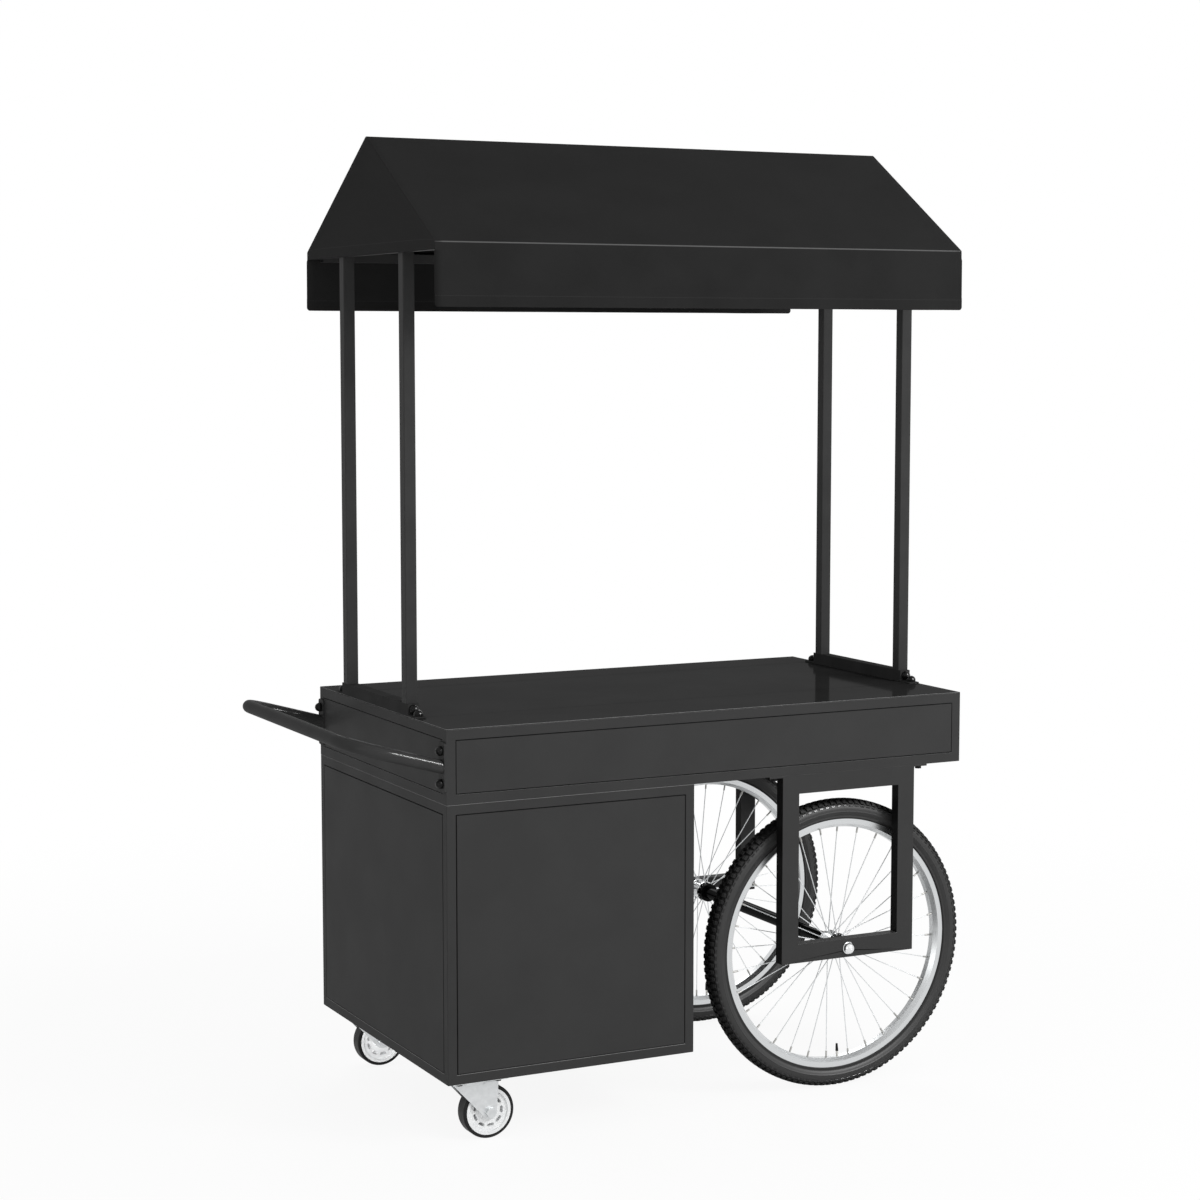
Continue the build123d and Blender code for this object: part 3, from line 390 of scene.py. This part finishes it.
# a rounded corner is the mean of the sharp section over a short length to each side
window = along[:, None] + corner_half * np.linspace(-1, 1, 17)
round_y = np.interp(window, section_at, section_y).mean(axis=1)
round_z = np.interp(window, section_at, section_z).mean(axis=1)
# outward direction: the section's own direction turned by a quarter
run_y, run_z = np.gradient(round_y, along), np.gradient(round_z, along)
out_y, out_z = -run_z, run_y

# how far the cloth stands out, over the length across and the share of the way along X: slopes sag
# least near the gables, and valances wave most at their hems
share = np.linspace(0, 1, 73)[:, None]
to_hem = np.minimum(along, girth - along)
down_slope = np.clip((to_hem - valance_drop) / slope_length, 0, 1)
sag = slope_sag * np.sin(pi * down_slope) ** 2 * (1 - (2 * share - 1) ** 6)
flutter = sum(size * np.sin(2 * pi * count * share + start) for size, count, start in wave_sines)
wave = valance_wave * np.clip(1 - to_hem / valance_drop, 0, 1) ** 1.4 * flutter
hem = hem_rise * (1 - step(to_hem, hem_width - hem_edge, hem_width + hem_edge))
welt = np.exp(-((to_hem - valance_drop) / welt_half) ** 2)
stand = wave + hem + welt_rise * welt - sag
# half the length along X: more below the gable's hem, and less by a quarter circle at the corners
from_corner = np.clip(1 - to_hem / valance_corner, 0, 1)
half_run = ((high.x - low.x) / 2 + valance_flare * step(valance_drop - gable_drop - to_hem, 0, flare_run)
            - valance_corner * (1 - np.sqrt(1 - from_corner ** 2)))
roof = np.stack([(low.x + high.x) / 2 + (2 * share - 1) * half_run,
                 round_y + out_y * stand, round_z + out_z * stand], axis=-1)

# a gable runs down from the roof's end to its own hem; each strand starts at a point of the
# section and ends at the same share of the way along the hem
hem_start, hem_end = valance_drop - gable_drop, girth - valance_drop + gable_drop
edge = np.flatnonzero((along > hem_start - weld_distance) & (along < hem_end + weld_distance))
across = (along[edge] - along[edge[0]]) / (along[edge[-1]] - along[edge[0]])
fall = np.concatenate([np.linspace(0, 0.9, 16), [0.93, 0.97, 1.0]])[:, None, None]
gables, gable_to_hem = [], []
for end, inwards in ((roof[0], 1), (roof[-1], -1)):
    top = end[edge]
    hem_line = top[0] + (top[-1] - top[0]) * across[:, None]
    gable = top + (hem_line - top) * fall
    gable[:, :, 0] += inwards * gable_hollow * np.sin(pi * fall[:, :, 0]) * np.sin(pi * across)
    gables.append(gable)
    gable_to_hem.append((1 - fall[:, :, 0]) * np.linalg.norm(hem_line - top, axis=-1))

rows, columns = roof.shape[:2]
points = np.concatenate([sheet.reshape(-1, 3) for sheet in (roof, *gables)])
gable_faces = grid_faces(len(fall), len(edge))
faces = np.concatenate([grid_faces(rows, columns),
                        gable_faces[:, ::-1] + rows * columns,
                        gable_faces + rows * columns + gables[0].shape[0] * gables[0].shape[1]])
# flat pattern in metres: the roof by length along X and across, each gable by Y and Z beside it
beside = 3
pattern = np.concatenate([np.stack([roof[:, :, 0], 0 * share + along], axis=-1).reshape(-1, 2)]
                         + [np.stack([gable[:, :, 1] + beside, gable[:, :, 2]], axis=-1).reshape(-1, 2)
                            for gable in gables])

# polyurethane-coated polyester: a plain weave of 0.5 mm threads under a satin film; the weave is
# drawn at 1.5 mm so that it shows. Stitches are 4 mm long with 2 mm between them, 3.5 mm in from the
# hem's upper edge. Along the welt the cloth is painted paler, a painted highlight on the eave's fold.
thread, weave_depth = 0.0015, 0.00012
stitch, stitch_share, stitch_line, stitch_half = 0.006, 0.66, 0.0215, 0.0006
coated_polyester = new_finish("coated_black_polyester", IOR=1.5, Specular_IOR_Level=0.01)
tree = coated_polyester.node_tree
mottle(coated_polyester, ("#242424", "#282828"), patch=0.140, roughness=(0.54, 0.62))
# the welt is painted paler: a painted highlight along the eave
welt_highlight = add(tree, "ShaderNodeAttribute", attribute_name="welt").outputs["Fac"]
recolour(coated_polyester, remap(tree, welt_highlight, 0.45, 0.95), "#5e5e5e")
from_hem = add(tree, "ShaderNodeAttribute", attribute_name="to_hem").outputs["Fac"]
off_line = calculate(tree, "ABSOLUTE", calculate(tree, "SUBTRACT", from_hem, stitch_line))
on_line = calculate(tree, "LESS_THAN", off_line, stitch_half)
flat = add(tree, "ShaderNodeUVMap", uv_map="pattern").outputs["UV"]
run = add(tree, "ShaderNodeSeparateXYZ", {0: flat}).outputs[0]
beat = calculate(tree, "FRACT", calculate(tree, "DIVIDE", run, stitch))
stitched = calculate(tree, "MULTIPLY", on_line, calculate(tree, "LESS_THAN", beat, stitch_share))
recolour(coated_polyester, stitched, "#323232")
bands = {"Vector": flat, "Scale": 0.5 / thread, "Distortion": 0.4}
warp = add(tree, "ShaderNodeTexWave", bands, bands_direction="X").outputs[1]
weft = add(tree, "ShaderNodeTexWave", bands, bands_direction="Y").outputs[1]
weave = calculate(tree, "MULTIPLY", warp, weft)
relief = add(tree, "ShaderNodeBump", {"Height": weave, "Distance": weave_depth, "Strength": 0.6})
drive(coated_polyester, relief.outputs[0], "Normal")

canopy = new_piece("canopy_sheet", "cart", coated_polyester, points, faces)
uv = canopy.data.uv_layers.new(name="pattern")
corner_of = np.empty(len(canopy.data.loops), dtype=np.int32)
canopy.data.loops.foreach_get("vertex_index", corner_of)
uv.data.foreach_set("uv", pattern[corner_of].ravel())
marks = {"to_hem": [0 * share + to_hem, *gable_to_hem],
         "welt": [0 * share + welt, *(0 * gap for gap in gable_to_hem)]}
for name, parts in marks.items():
    mark = canopy.data.attributes.new(name, "FLOAT", "POINT")
    mark.data.foreach_set("value", np.concatenate([part.ravel() for part in parts]).astype(np.float32))
# roof and gables are joined along their common edge, which is folded round, and the cloth gets its
# thickness inwards
joined = bmesh.new()
joined.from_mesh(canopy.data)
bmesh.ops.remove_doubles(joined, verts=joined.verts, dist=weld_distance)
joined.to_mesh(canopy.data)
joined.free()
fold = canopy.modifiers.new("fold", "BEVEL")
fold.width = fold_width
fold.segments = 3
fold.limit_method = "ANGLE"
fold.angle_limit = radians(60)
wall = canopy.modifiers.new("wall", "SOLIDIFY")
wall.thickness = cloth_thickness
wall.offset = -1
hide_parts("canopy_cover")


# Wheel frames and axle: two rectangles of flat steel tube bolted up under the table. A threaded
# rod runs through both, with a spacer tube between the hubs and a domed nut at each end.

# the same powder coat on the frames; their narrow sides, facing along X, are painted darker, a painted
# shade
frame_coat = coated_steel("satin_black_frame_coat", painted_highlight_hue, upper_edges)
tree = frame_coat.node_tree
# faces turned along X are painted near black: painted shade
normal = add(tree, "ShaderNodeTexCoord").outputs["Normal"]
sideways = calculate(tree, "ABSOLUTE", add(tree, "ShaderNodeSeparateXYZ", {0: normal}).outputs[0])
recolour(frame_coat, remap(tree, sideways, 0.6, 0.95), "#161616")
# bright chrome plate: a mirror with a very slight haze
bright_chrome = plain_finish("bright_chrome_plate", ("#e0e1e2", "#eaebeb"), patch=0.015,
                             roughness=(0.12, 0.18), pitch=0.006, depth=0.00001, Metallic=1.0)
# bitumen varnish on the spacer tube: deep black with a hard narrow shine
black_varnish = plain_finish("black_tube_varnish", ("#0c0c0c", "#111111"), patch=0.040,
                             roughness=(0.50, 0.60), pitch=0.006, depth=0.00001, IOR=1.5,
                             Specular_IOR_Level=0.0, Coat_Weight=0.10, Coat_Roughness=0.08)
dress(frame_coat, "front_wheel_frame", "rear_wheel_frame")
dress(bright_chrome, "axle_nuts", "axle_rod")
dress(black_varnish, "axle_tube")
dress(black_oxide, "hex_bolts")
round_edges(0.0011, "front_wheel_frame", "rear_wheel_frame")


# Tyres: black moulded rubber on the wheel rims. Rows of tread blocks run from shoulder to shoulder, a
# row of short smooth bars lies below them, and the plain grey sidewalls have a thin rib and a lip.

# angles across the section are a tilt from straight outwards, in degrees; the lean is its size
knob_count, carcass_steps = 128, 192
tread_half, tread_top, tread_power = 0.0203, 0.02225, 3.2
side_reach = 0.0216
groove_depth, block_sink, block_chamfer = 0.0033, 0.0008, 0.0006
tread_end, side_start = 54, 60
rib_lean, rib_spread, rib_height = 99, 1.5, 0.0005
lip_start, lip_end, lip_back, lip_height = 124, 137, 145, 0.0040
# rows of blocks: tilt, half width in degrees of tilt, half length along the tread in metres, top and
# foot above the outline, slant of the top, set-back in pitches
block_foot = -groove_depth - block_sink
tread_rows = [(9.0, 7.0, 0.0046, 0.0, block_foot, 0.0, 0.5),
              (27.0, 7.6, 0.0045, 0.0, block_foot, 0.0, 0.0),
              (45.0, 8.0, 0.0044, 0.0, block_foot, 0.0, 0.0),
              (58.0, 4.0, 0.0030, 0.0003, -0.0030, 0.0, 0.5)]
side_bars = (66.5, 4.2, 0.0048, 0.0008, -0.0010, 0.0005, 0.0)


def ring_point(centre, ring_radius, turn, tilt, reach):
    """Points round an axle that lies along Y: the section's centre is ring_radius from the axle
    at the angle turn, and the point is reach from there, tilted from straight outwards to +Y."""
    radius = ring_radius + reach * np.cos(tilt)
    shape = np.broadcast(turn, tilt, reach).shape
    places = [centre[0] + radius * np.cos(turn), centre[1] + reach * np.sin(tilt),
              centre[2] + radius * np.sin(turn)]
    return np.stack([np.broadcast_to(place, shape) for place in places], axis=-1)


def tread_outline(tilt):
    """Reach of the tyre's outside from the section's centre: on the outer half a superellipse, where
    across / half width and up / half height, each to the power given, add up to 1, or the round
    sidewall where that reaches further."""
    across, up = np.abs(np.sin(tilt)) / tread_half, np.abs(np.cos(tilt)) / tread_top
    squarish = (across ** tread_power + up ** tread_power) ** (-1 / tread_power)
    return np.where(np.cos(tilt) > 0, np.maximum(squarish, side_reach), side_reach)


# the carcass's reach over its tilt: the tread's base, then the sidewall with a rib near its middle
# and a bead lip that laps over the rim's edge
half_tilt = np.concatenate([np.arange(0, 52, 6.0), np.arange(52, 63, 2.0), [66, 70, 74, 79, 84, 90],
                            [96, 98, 99, 100, 102, 108, 115, 121, 125, 128, 131, 134, 137, 139, 150, 165]])
tilt = np.concatenate([-half_tilt[:0:-1], half_tilt, [180]])
lean = np.abs(tilt)
base = groove_depth * (1 - step(lean, tread_end, side_start))
rib = rib_height * np.exp(-((lean - rib_lean) / rib_spread) ** 2)
lip = lip_height * step(lean, lip_start, lip_end) * (lean < lip_back)
reach = tread_outline(np.radians(tilt)) - base + rib + lip

# one block as three rings of four corners: sunk foot, shoulder and chamfered top
ring_share = np.array([1.0, 1.0, 0.78])[:, None]
block_turn = ring_share * np.array([-1, -1, 1, 1])
block_tilt = ring_share * np.array([-1, 1, 1, -1])
block_faces = np.array([[3, 2, 1, 0], [8, 9, 10, 11]]
                       + [[4 * ring + side, 4 * ring + (side + 1) % 4,
                           4 * ring + 4 + (side + 1) % 4, 4 * ring + 4 + side]
                          for ring in (0, 1) for side in range(4)])

# moulded rubber: almost black and dull on the tread; the sidewall has a grey bloom and a soft
# sheen. Beside the rim the sidewall is painted black, a painted shade in the crease
crease_shade_start, crease_shade_end = 126, 134
tyre_rubber = new_finish("moulded_tyre_rubber", IOR=1.52, Specular_IOR_Level=0.13)
tree = tyre_rubber.node_tree
place = add(tree, "ShaderNodeTexCoord").outputs["Object"]
lean_of = add(tree, "ShaderNodeAttribute", attribute_name="lean").outputs["Fac"]
# the sidewall's grey stops short of the rim, where the black is painted shade in the crease
sidewall = calculate(tree, "MULTIPLY", remap(tree, lean_of, tread_end, side_start),
                     remap(tree, lean_of, crease_shade_end, crease_shade_start))
bloom = mix_colours(tree, noise(tree, place, 0.045, 3.0), linear("#2f2f2f"), linear("#363636"))
drive(tyre_rubber, mix_colours(tree, sidewall, linear("#111111"), bloom), "Base_Color")
drive(tyre_rubber, remap(tree, sidewall, 0.0, 1.0, 0.72, 0.50), "Roughness")
grain(tyre_rubber, place, pitch=0.002, depth=0.00004)
# the bars take the mould's polish, so they glint where they face a lamp
smooth_rubber = plain_finish("mould_polished_rubber", ("#303030", "#363636"), patch=0.020,
                             roughness=(0.17, 0.23), pitch=0.002, depth=0.00001,
                             IOR=1.52, Specular_IOR_Level=0.045)

for side in ("front", "rear"):
    low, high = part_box(f"{side}_tyre")
    centre = np.array((low + high) / 2)
    ring_radius = (high.x - low.x) / 2 - tread_top
    turn = np.linspace(0, 2 * pi, carcass_steps, endpoint=False)[:, None]
    carcass = ring_point(centre, ring_radius, turn, np.radians(tilt), reach)
    points, leans = [carcass.reshape(-1, 3)], [np.broadcast_to(lean, carcass.shape[:2]).ravel()]
    faces = [grid_faces(*carcass.shape[:2], wrap=True)]
    for row_tilt, half_width, half_length, top, foot, slant, offset in (*tread_rows, side_bars):
        for way in (-1, 1):
            turns = 2 * pi * (np.arange(knob_count) + offset) / knob_count
            corner_turn = turns[:, None, None] + block_turn * half_length / (ring_radius + tread_top)
            corner_tilt = np.radians(way * row_tilt + block_tilt * half_width)
            rings = tread_outline(corner_tilt) + np.array([foot, top - block_chamfer, top])[:, None]
            rings += slant * way * block_tilt
            blocks = ring_point(centre, ring_radius, corner_turn, corner_tilt, rings).reshape(-1, 3)
            first = sum(len(part) for part in points) + np.arange(knob_count) * block_turn.size
            faces.append((first[:, None, None] + block_faces).reshape(-1, 4))
            points.append(blocks)
            leans.append(np.zeros(len(blocks)))
    tyre = new_piece(f"{side}_block_tyre", f"{side}_wheel", tyre_rubber,
                     np.concatenate(points), np.concatenate(faces))
    number = np.arange(len(tyre.data.polygons))
    tyre.data.polygons.foreach_set("use_smooth", number < len(faces[0]))
    tyre.data.materials.append(smooth_rubber)
    on_bar = number >= len(number) - len(faces[-1]) - len(faces[-2])
    tyre.data.polygons.foreach_set("material_index", on_bar.astype(np.int32))
    mark = tyre.data.attributes.new("lean", "FLOAT", "POINT")
    mark.data.foreach_set("value", np.concatenate(leans).astype(np.float32))
    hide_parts(f"{side}_tyre")


# Wheels inside the tyres: a bent and welded aluminium rim, 32 straight spokes with plated nipples,
# and a chromed steel hub. The inner tube's valve comes through the rim.

low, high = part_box("front_rim")
axle_x, axle_z = (low.x + high.x) / 2, (low.z + high.z) / 2
# distances from the axle: where the nipples begin, and the middle and half length of the valve's stem
nipple_start = 0.2390
stem_middle, stem_half = 0.2513, 0.0107


def from_axle(tree, place):
    """Distance of a place from the axle, which lies along Y: the square root of
    (x - axle x)² + (z - axle z)²."""
    parts = add(tree, "ShaderNodeSeparateXYZ", {0: place}).outputs
    flat_place = add(tree, "ShaderNodeCombineXYZ", {0: parts[0], 1: parts[2]}).outputs[0]
    feeds = {0: flat_place, 1: (axle_x, axle_z, 0)}
    return add(tree, "ShaderNodeVectorMath", feeds, operation="DISTANCE").outputs["Value"]


# extruded aluminium, brushed round the rim and anodised: fine lines that follow the circle, about
# 0.3 mm apart and drawn at 0.9 mm, over low rolls that are 3 mm apart
brushed_rim = new_finish("brushed_anodised_aluminium", Metallic=1.0)
tree = brushed_rim.node_tree
place = add(tree, "ShaderNodeTexCoord").outputs["Object"]
sideways = add(tree, "ShaderNodeSeparateXYZ", {0: place}).outputs[1]
round_place = add(tree, "ShaderNodeCombineXYZ", {0: from_axle(tree, place), 1: sideways}).outputs[0]
mottle(brushed_rim, ("#cbcdce", "#d6d8d9"), patch=0.0009, roughness=(0.26, 0.32), coordinates=round_place)
grain(brushed_rim, round_place, pitch=0.0030, depth=0.000004)
# drawn stainless steel, left dull from the die; the nipples at the rim are nickel-plated brass, greyer
spoke_wire = new_finish("drawn_stainless_spokes", Metallic=1.0)
tree = spoke_wire.node_tree
place = add(tree, "ShaderNodeTexCoord").outputs["Object"]
nipple = calculate(tree, "GREATER_THAN", from_axle(tree, place), nipple_start)
drawn = mix_colours(tree, noise(tree, place, 0.010), linear("#dadcdd"), linear("#e4e6e7"))
drive(spoke_wire, drawn, "Base_Color")
recolour(spoke_wire, nipple, "#b4b3b0")
drive(spoke_wire, remap(tree, nipple, 0.0, 1.0, 0.50, 0.42), "Roughness")
# butyl rubber of the tube and its valve cap: smooth and dull black; the valve's stem, between the cap
# and the rim, is nickel-plated brass
butyl_rubber = plain_finish("butyl_tube_rubber", ("#161616", "#1e1e1e"), patch=0.015,
                            roughness=(0.50, 0.62), pitch=0.002, depth=0.00002,
                            IOR=1.52, Specular_IOR_Level=0.2)
tree = butyl_rubber.node_tree
place = add(tree, "ShaderNodeTexCoord").outputs["Object"]
on_stem = calculate(tree, "COMPARE", from_axle(tree, place), stem_middle, stem_half)
recolour(butyl_rubber, on_stem, "#d4d3cf")
drive(butyl_rubber, on_stem, "Metallic")
for side in ("front", "rear"):
    dress(brushed_rim, f"{side}_rim")
    dress(spoke_wire, f"{side}_spokes")
    dress(bright_chrome, f"{side}_hub")
    dress(butyl_rubber, f"{side}_inner_tube")


# Swivel casters: a pressed zinc-plated plate and fork, and a grey nylon wheel with a thin black
# rubber tyre on a bolted axle.

# injection-moulded nylon: pale grey, with a dull moulded skin
grey_nylon = plain_finish("moulded_grey_nylon", ("#eeeff0", "#f5f6f6"), patch=0.020,
                          roughness=(0.42, 0.52), pitch=0.002, depth=0.00003,
                          IOR=1.53, Specular_IOR_Level=0.25)
for side in ("front", "rear"):
    dress(zinc_plate, f"{side}_caster_plate", f"{side}_caster_fork", f"{side}_caster_axle")
    dress(grey_nylon, f"{side}_caster_core")
    dress(butyl_rubber, f"{side}_caster_tyre")
    round_edges(0.0008, f"{side}_caster_plate", f"{side}_caster_fork")


# Studio: a white floor and white surroundings. The cart stands in even soft light, with large soft
# lamps at the front, left and back and a key lamp at the front right. Two more are flagged: one only
# puts streaks on glossy black tubes, cap bolts and tyres, and one only reaches the casters.

def seen(tree):
    """1 for a ray from the camera, off a glossy surface or through a clear one, else 0."""
    ray = add(tree, "ShaderNodeLightPath").outputs
    direct = calculate(tree, "MAXIMUM", ray["Is Camera Ray"], ray["Is Glossy Ray"])
    return calculate(tree, "MAXIMUM", direct, ray["Is Transmission Ray"])


floor_half, floor_z = 30, -0.0003
floor_mesh = bpy.data.meshes.new("studio_floor")
floor_corners = [(x * floor_half, y * floor_half, floor_z) for x, y in ((-1, -1), (1, -1), (1, 1), (-1, 1))]
floor_mesh.from_pydata(floor_corners, [], [(0, 1, 2, 3)])
floor = bpy.data.objects.new("studio_floor", floor_mesh)
bpy.context.scene.collection.objects.link(floor)
white = (1, 1, 1, 1)
white_floor = bpy.data.materials.new("white_studio_floor")
white_floor.use_nodes = True
tree = white_floor.node_tree
tree.nodes.clear()
# the paper's own shading fades out between 1.4 and 3.2 m from the cart, where the white begins
place = add(tree, "ShaderNodeTexCoord").outputs["Object"]
away = add(tree, "ShaderNodeVectorMath", {0: place}, operation="LENGTH").outputs["Value"]
glow_share = calculate(tree, "MULTIPLY", seen(tree), remap(tree, away, 1.4, 3.2, 0.91, 1.0))
paper = add(tree, "ShaderNodeBsdfDiffuse", {"Color": linear("#f8f8f8")}).outputs[0]
glow = add(tree, "ShaderNodeEmission", {"Color": white, "Strength": 1.0}).outputs[0]
surface = add(tree, "ShaderNodeMixShader", {0: glow_share, 1: paper, 2: glow}).outputs[0]
add(tree, "ShaderNodeOutputMaterial", {"Surface": surface})
floor_mesh.materials.append(white_floor)

world = bpy.data.worlds.new("studio_surroundings")
bpy.context.scene.world = world
world.use_nodes = True
tree = world.node_tree
tree.nodes.clear()
soft_light = add(tree, "ShaderNodeBackground", {"Color": white, "Strength": 0.55}).outputs[0]
backdrop = add(tree, "ShaderNodeBackground", {"Color": white, "Strength": 1.0}).outputs[0]
surface = add(tree, "ShaderNodeMixShader", {0: seen(tree), 1: soft_light, 2: backdrop}).outputs[0]
add(tree, "ShaderNodeOutputWorld", {"Surface": surface})


def softbox(name, place, aim, size, power):
    """A rectangular lamp at a place, turned to the point it is aimed at; its light falls off with
    the square of the distance."""
    lamp = bpy.data.lights.new(name, "AREA")
    lamp.shape = "RECTANGLE"
    lamp.size, lamp.size_y = size
    lamp.energy = power
    stand = bpy.data.objects.new(name, lamp)
    bpy.context.scene.collection.objects.link(stand)
    stand.location = place
    stand.rotation_euler = (Vector(aim) - Vector(place)).to_track_quat("-Z", "Y").to_euler()
    return stand


key_place, key_aim = (1.96, -2.94, 2.88), (-0.3, -0.3, 0.7)
softbox("front_lamp", (1.6, -4.2, 2.6), aim=(0.1, 0, 0.9), size=(2.4, 2.0), power=57)
softbox("left_lamp", (-4.2, -2.6, 1.0), aim=(-0.2, 0, 0.6), size=(1.6, 1.6), power=14)
softbox("back_lamp", (1.8, 4.2, 3.2), aim=(0.1, 0, 0.8), size=(2.4, 2.0), power=60)
softbox("key_lamp", key_place, key_aim, size=(1.2, 1.2), power=50)
streak_lamp = softbox("streak_lamp", key_place, key_aim, size=(1.1, 0.9), power=700)
streak_lamp.visible_diffuse = False
low_lamp = softbox("low_lamp", (-1.9, -1.9, 0.5), aim=(-0.43, 0.1, 0.08), size=(0.8, 0.5), power=45)
streaked = ["handle", "axle_tube", "dome_bolts", "front_block_tyre", "rear_block_tyre"]
shaded = ["front_caster_plate", "rear_caster_plate", "rear_caster_fork", "rear_caster_core"]
for stand, lit in ((streak_lamp, streaked), (low_lamp, shaded)):
    receivers = bpy.data.collections.new(f"{stand.name}_receivers")
    for name in lit:
        receivers.objects.link(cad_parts.get(name) or bpy.data.objects[name])
    stand.light_linking.receiver_collection = receivers

# the camera's degrees below level and to the right of straight ahead
camera_fall, camera_turn = 5.771, 26.557
camera = bpy.data.objects.new("camera", bpy.data.cameras.new("camera"))
bpy.context.scene.collection.objects.link(camera)
camera.data.lens = 76.485
camera.data.sensor_width = 36
camera.location = (-2.43774, -4.8652, 1.590)
camera.rotation_euler = (radians(90 - camera_fall), 0, radians(-camera_turn))
bpy.context.scene.camera = camera
bpy.context.scene.view_settings.view_transform = "Standard"
